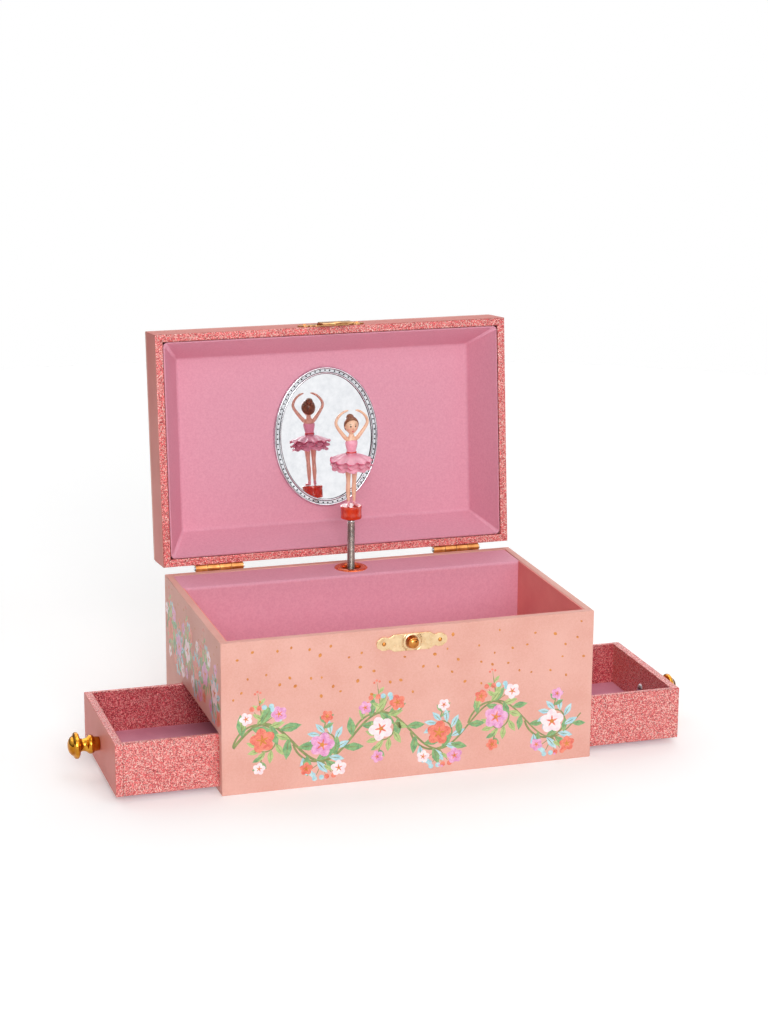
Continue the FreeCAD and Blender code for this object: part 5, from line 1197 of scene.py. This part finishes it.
for layer, (top, rim, drop, flutes, wave) in enumerate((
        (29.2, 11.7, 3.4, 11, 0.62), (28.2, 11.3, 4.9, 12, 0.6), (27.2, 10.6, 6.2, 10, 0.5))):
    profile = [
        (waist, top), (4.4, top - 0.25), (6.4, top - drop * 0.3), (8.6, top - drop * 0.62),
        (rim - 0.8, top - drop * 0.95), (rim, top - drop)]
    skirt = turned(profile, (0, 0, 0), (0, 0, 1), 96)
    bmesh.ops.scale(skirt, vec=to_millimetres, verts=skirt.verts)
    bmesh.ops.subdivide_edges(skirt, edges=[
        edge for edge in skirt.edges
        if abs(edge.verts[0].co.xy.length - edge.verts[1].co.xy.length) > 0.1], cuts=1)
    for vert in skirt.verts:
        radius = vert.co.xy.length
        angle = math.atan2(vert.co.y, vert.co.x)
        share = max(0, (radius - waist) / (rim - waist)) ** 1.6
        flute = math.sin(flutes * angle + layer * 1.7) + 0.35 * math.sin((2 * flutes + 1) * angle + layer)
        vert.co.z += wave * share * flute
        sway = 1 - 0.035 * share * math.cos(flutes * angle + layer * 1.7)
        vert.co.x *= sway
        vert.co.y *= sway
    bmesh.ops.recalc_face_normals(skirt, faces=skirt.faces)
    bmesh.ops.solidify(skirt, geom=skirt.faces[:], thickness=tutu_thickness)
    for face in skirt.faces:
        face.smooth = True
    joined(tutu, skirt)
piece("dancer_tutu_gathered", on_dancer(tutu), "dancer", [tutu_paint], ["dancer_tutu"])

# Movement: a wind-up musical movement in the rear well, screwed to the back panel.
# Its plates and wheels are brass, its comb, arbors and springs steel, its bed a plated casting.
cast_plate = metal(
    "plated_casting", srgb(150, 142, 122), srgb(196, 188, 164), rough=(0.34, 0.5), scratch=0.02 * mm)
wheel_brass = metal(
    "wheel_brass", srgb(190, 146, 70), srgb(226, 186, 104), rough=(0.2, 0.34), scratch=0.004 * mm)
dressed(cast_plate, "movement_bedplate")
dressed(wheel_brass, "tune_cylinder", "train_wheel", "governor_fly", "winding_barrel", "winding_bush")
dressed(pin_steel, "tone_comb", "movement_screws", "cylinder_arbor", "winding_arbor")
dressed(spring_steel, "mainspring")


def softened(node, radius):
    """A copy of a CAD node's mesh, merged, with its sharp edges eased."""
    mesh = bmesh.new()
    mesh.from_mesh(cad[node].data)
    bmesh.ops.remove_doubles(mesh, verts=mesh.verts, dist=0.002 * mm)
    bmesh.ops.dissolve_limit(mesh, angle_limit=0.02, verts=mesh.verts, edges=mesh.edges)
    rounded(mesh, [edge for edge in mesh.edges if edge.calc_face_angle(0) > 0.9], radius, 2)
    for face in mesh.faces:
        face.smooth = True
    for edge in mesh.edges:
        edge.smooth = edge.calc_face_angle(0) < 0.5
    return mesh


key = softened("winding_key", 0.35 * mm)
piece("winding_key_eased", key, "winder", [wheel_brass], ["winding_key"])

# Studio: a plain pale floor, a wide soft light in front and a little left, and even light all round.
# The camera stands where the photograph was taken.
floor_radius = 1.05
floor_mesh = bmesh.new()
bmesh.ops.create_circle(floor_mesh, cap_ends=True, segments=64, radius=floor_radius)
floor_data = bpy.data.meshes.new("floor")
floor_mesh.to_mesh(floor_data)
floor_mesh.free()
floor = bpy.data.objects.new("floor", floor_data)
bpy.context.collection.objects.link(floor)
floor_paint = finish(
    "pale_floor", Base_Color=(0.9, 0.9, 0.9, 1), Roughness=0.9, Emission_Color=(1, 1, 1, 1),
    Emission_Strength=0.2)[0]
floor_data.materials.append(floor_paint)


def soft_light(name, place, target, size, watts):
    data = bpy.data.lights.new(name, "AREA")
    data.shape = "RECTANGLE"
    data.size, data.size_y = size
    data.energy = watts
    lamp = bpy.data.objects.new(name, data)
    bpy.context.collection.objects.link(lamp)
    lamp.location = place
    lamp.rotation_euler = (Vector(target) - Vector(place)).to_track_quat("-Z", "Y").to_euler()


box_middle = (0, 0, 0.1)
soft_light("key_light", place=(-0.35, -2.0, 0.85), target=box_middle, size=(0.9, 0.8), watts=20)
soft_light("top_light", place=(0.3, -0.3, 1.8), target=box_middle, size=(1.0, 1.0), watts=5)
soft_light("backdrop_light", place=(2.0, 6.2, 3.2), target=(2.0, 6.2, 0), size=(14, 11), watts=600)
soft_light("foreground_light", place=(1.0, -5.5, 3.2), target=(1.0, -5.5, 0), size=(9, 6), watts=240)
world = bpy.data.worlds.new("studio")
bpy.context.scene.world = world
world.use_nodes = True
sky_white, sky_shed, sky_low = 1.0, 0.05, 0.14
sky_rise, sky_front = (0.05, 0.55), (-0.7, -0.93)
rays = wired(world, "ShaderNodeLightPath", {})
way = wired(world, "ShaderNodeSeparateXYZ", {0: wired(world, "ShaderNodeTexCoord", {}).outputs["Generated"]})


def sky_band(axis, band):
    """Light that grows from low to white as a ray's direction crosses a band."""
    made = wired(world, "ShaderNodeMapRange", {
        "Value": way.outputs[axis], "From Min": band[0], "From Max": band[1], "To Min": sky_low,
        "To Max": sky_white})
    return made.outputs[0]


bright = wired(
    world, "ShaderNodeMath", {0: sky_band("Z", sky_rise), 1: sky_band("Y", sky_front)}, operation="MAXIMUM")
shed = wired(world, "ShaderNodeMix", {
    0: rays.outputs["Is Glossy Ray"], 2: sky_shed, 3: bright.outputs[0]}, data_type="FLOAT")
seen = wired(
    world, "ShaderNodeMath", {0: rays.outputs["Is Camera Ray"], 1: shed.outputs[0]}, operation="MAXIMUM")
sky = world.node_tree.nodes["Background"]
sky.inputs["Color"].default_value = (1, 1, 1, 1)
into(world, seen.outputs[0], sky, "Strength")
camera_data = bpy.data.cameras.new("photo_camera")
camera_data.lens = 83.6
camera_data.sensor_width = 36
camera = bpy.data.objects.new("photo_camera", camera_data)
bpy.context.collection.objects.link(camera)
camera_place = (-0.36316, -1.15826, 0.44626)
right_way = (0.9535, -0.3012, 0.0068)
up_way = (0.0708, 0.2460, 0.9667)
forward = (0.2929, 0.9213, -0.2559)
turn = Matrix((right_way, up_way, [-value for value in forward])).transposed()
camera.matrix_world = Matrix.Translation(camera_place) @ turn.to_4x4()
bpy.context.scene.camera = camera
bpy.context.scene.view_settings.view_transform = "Standard"
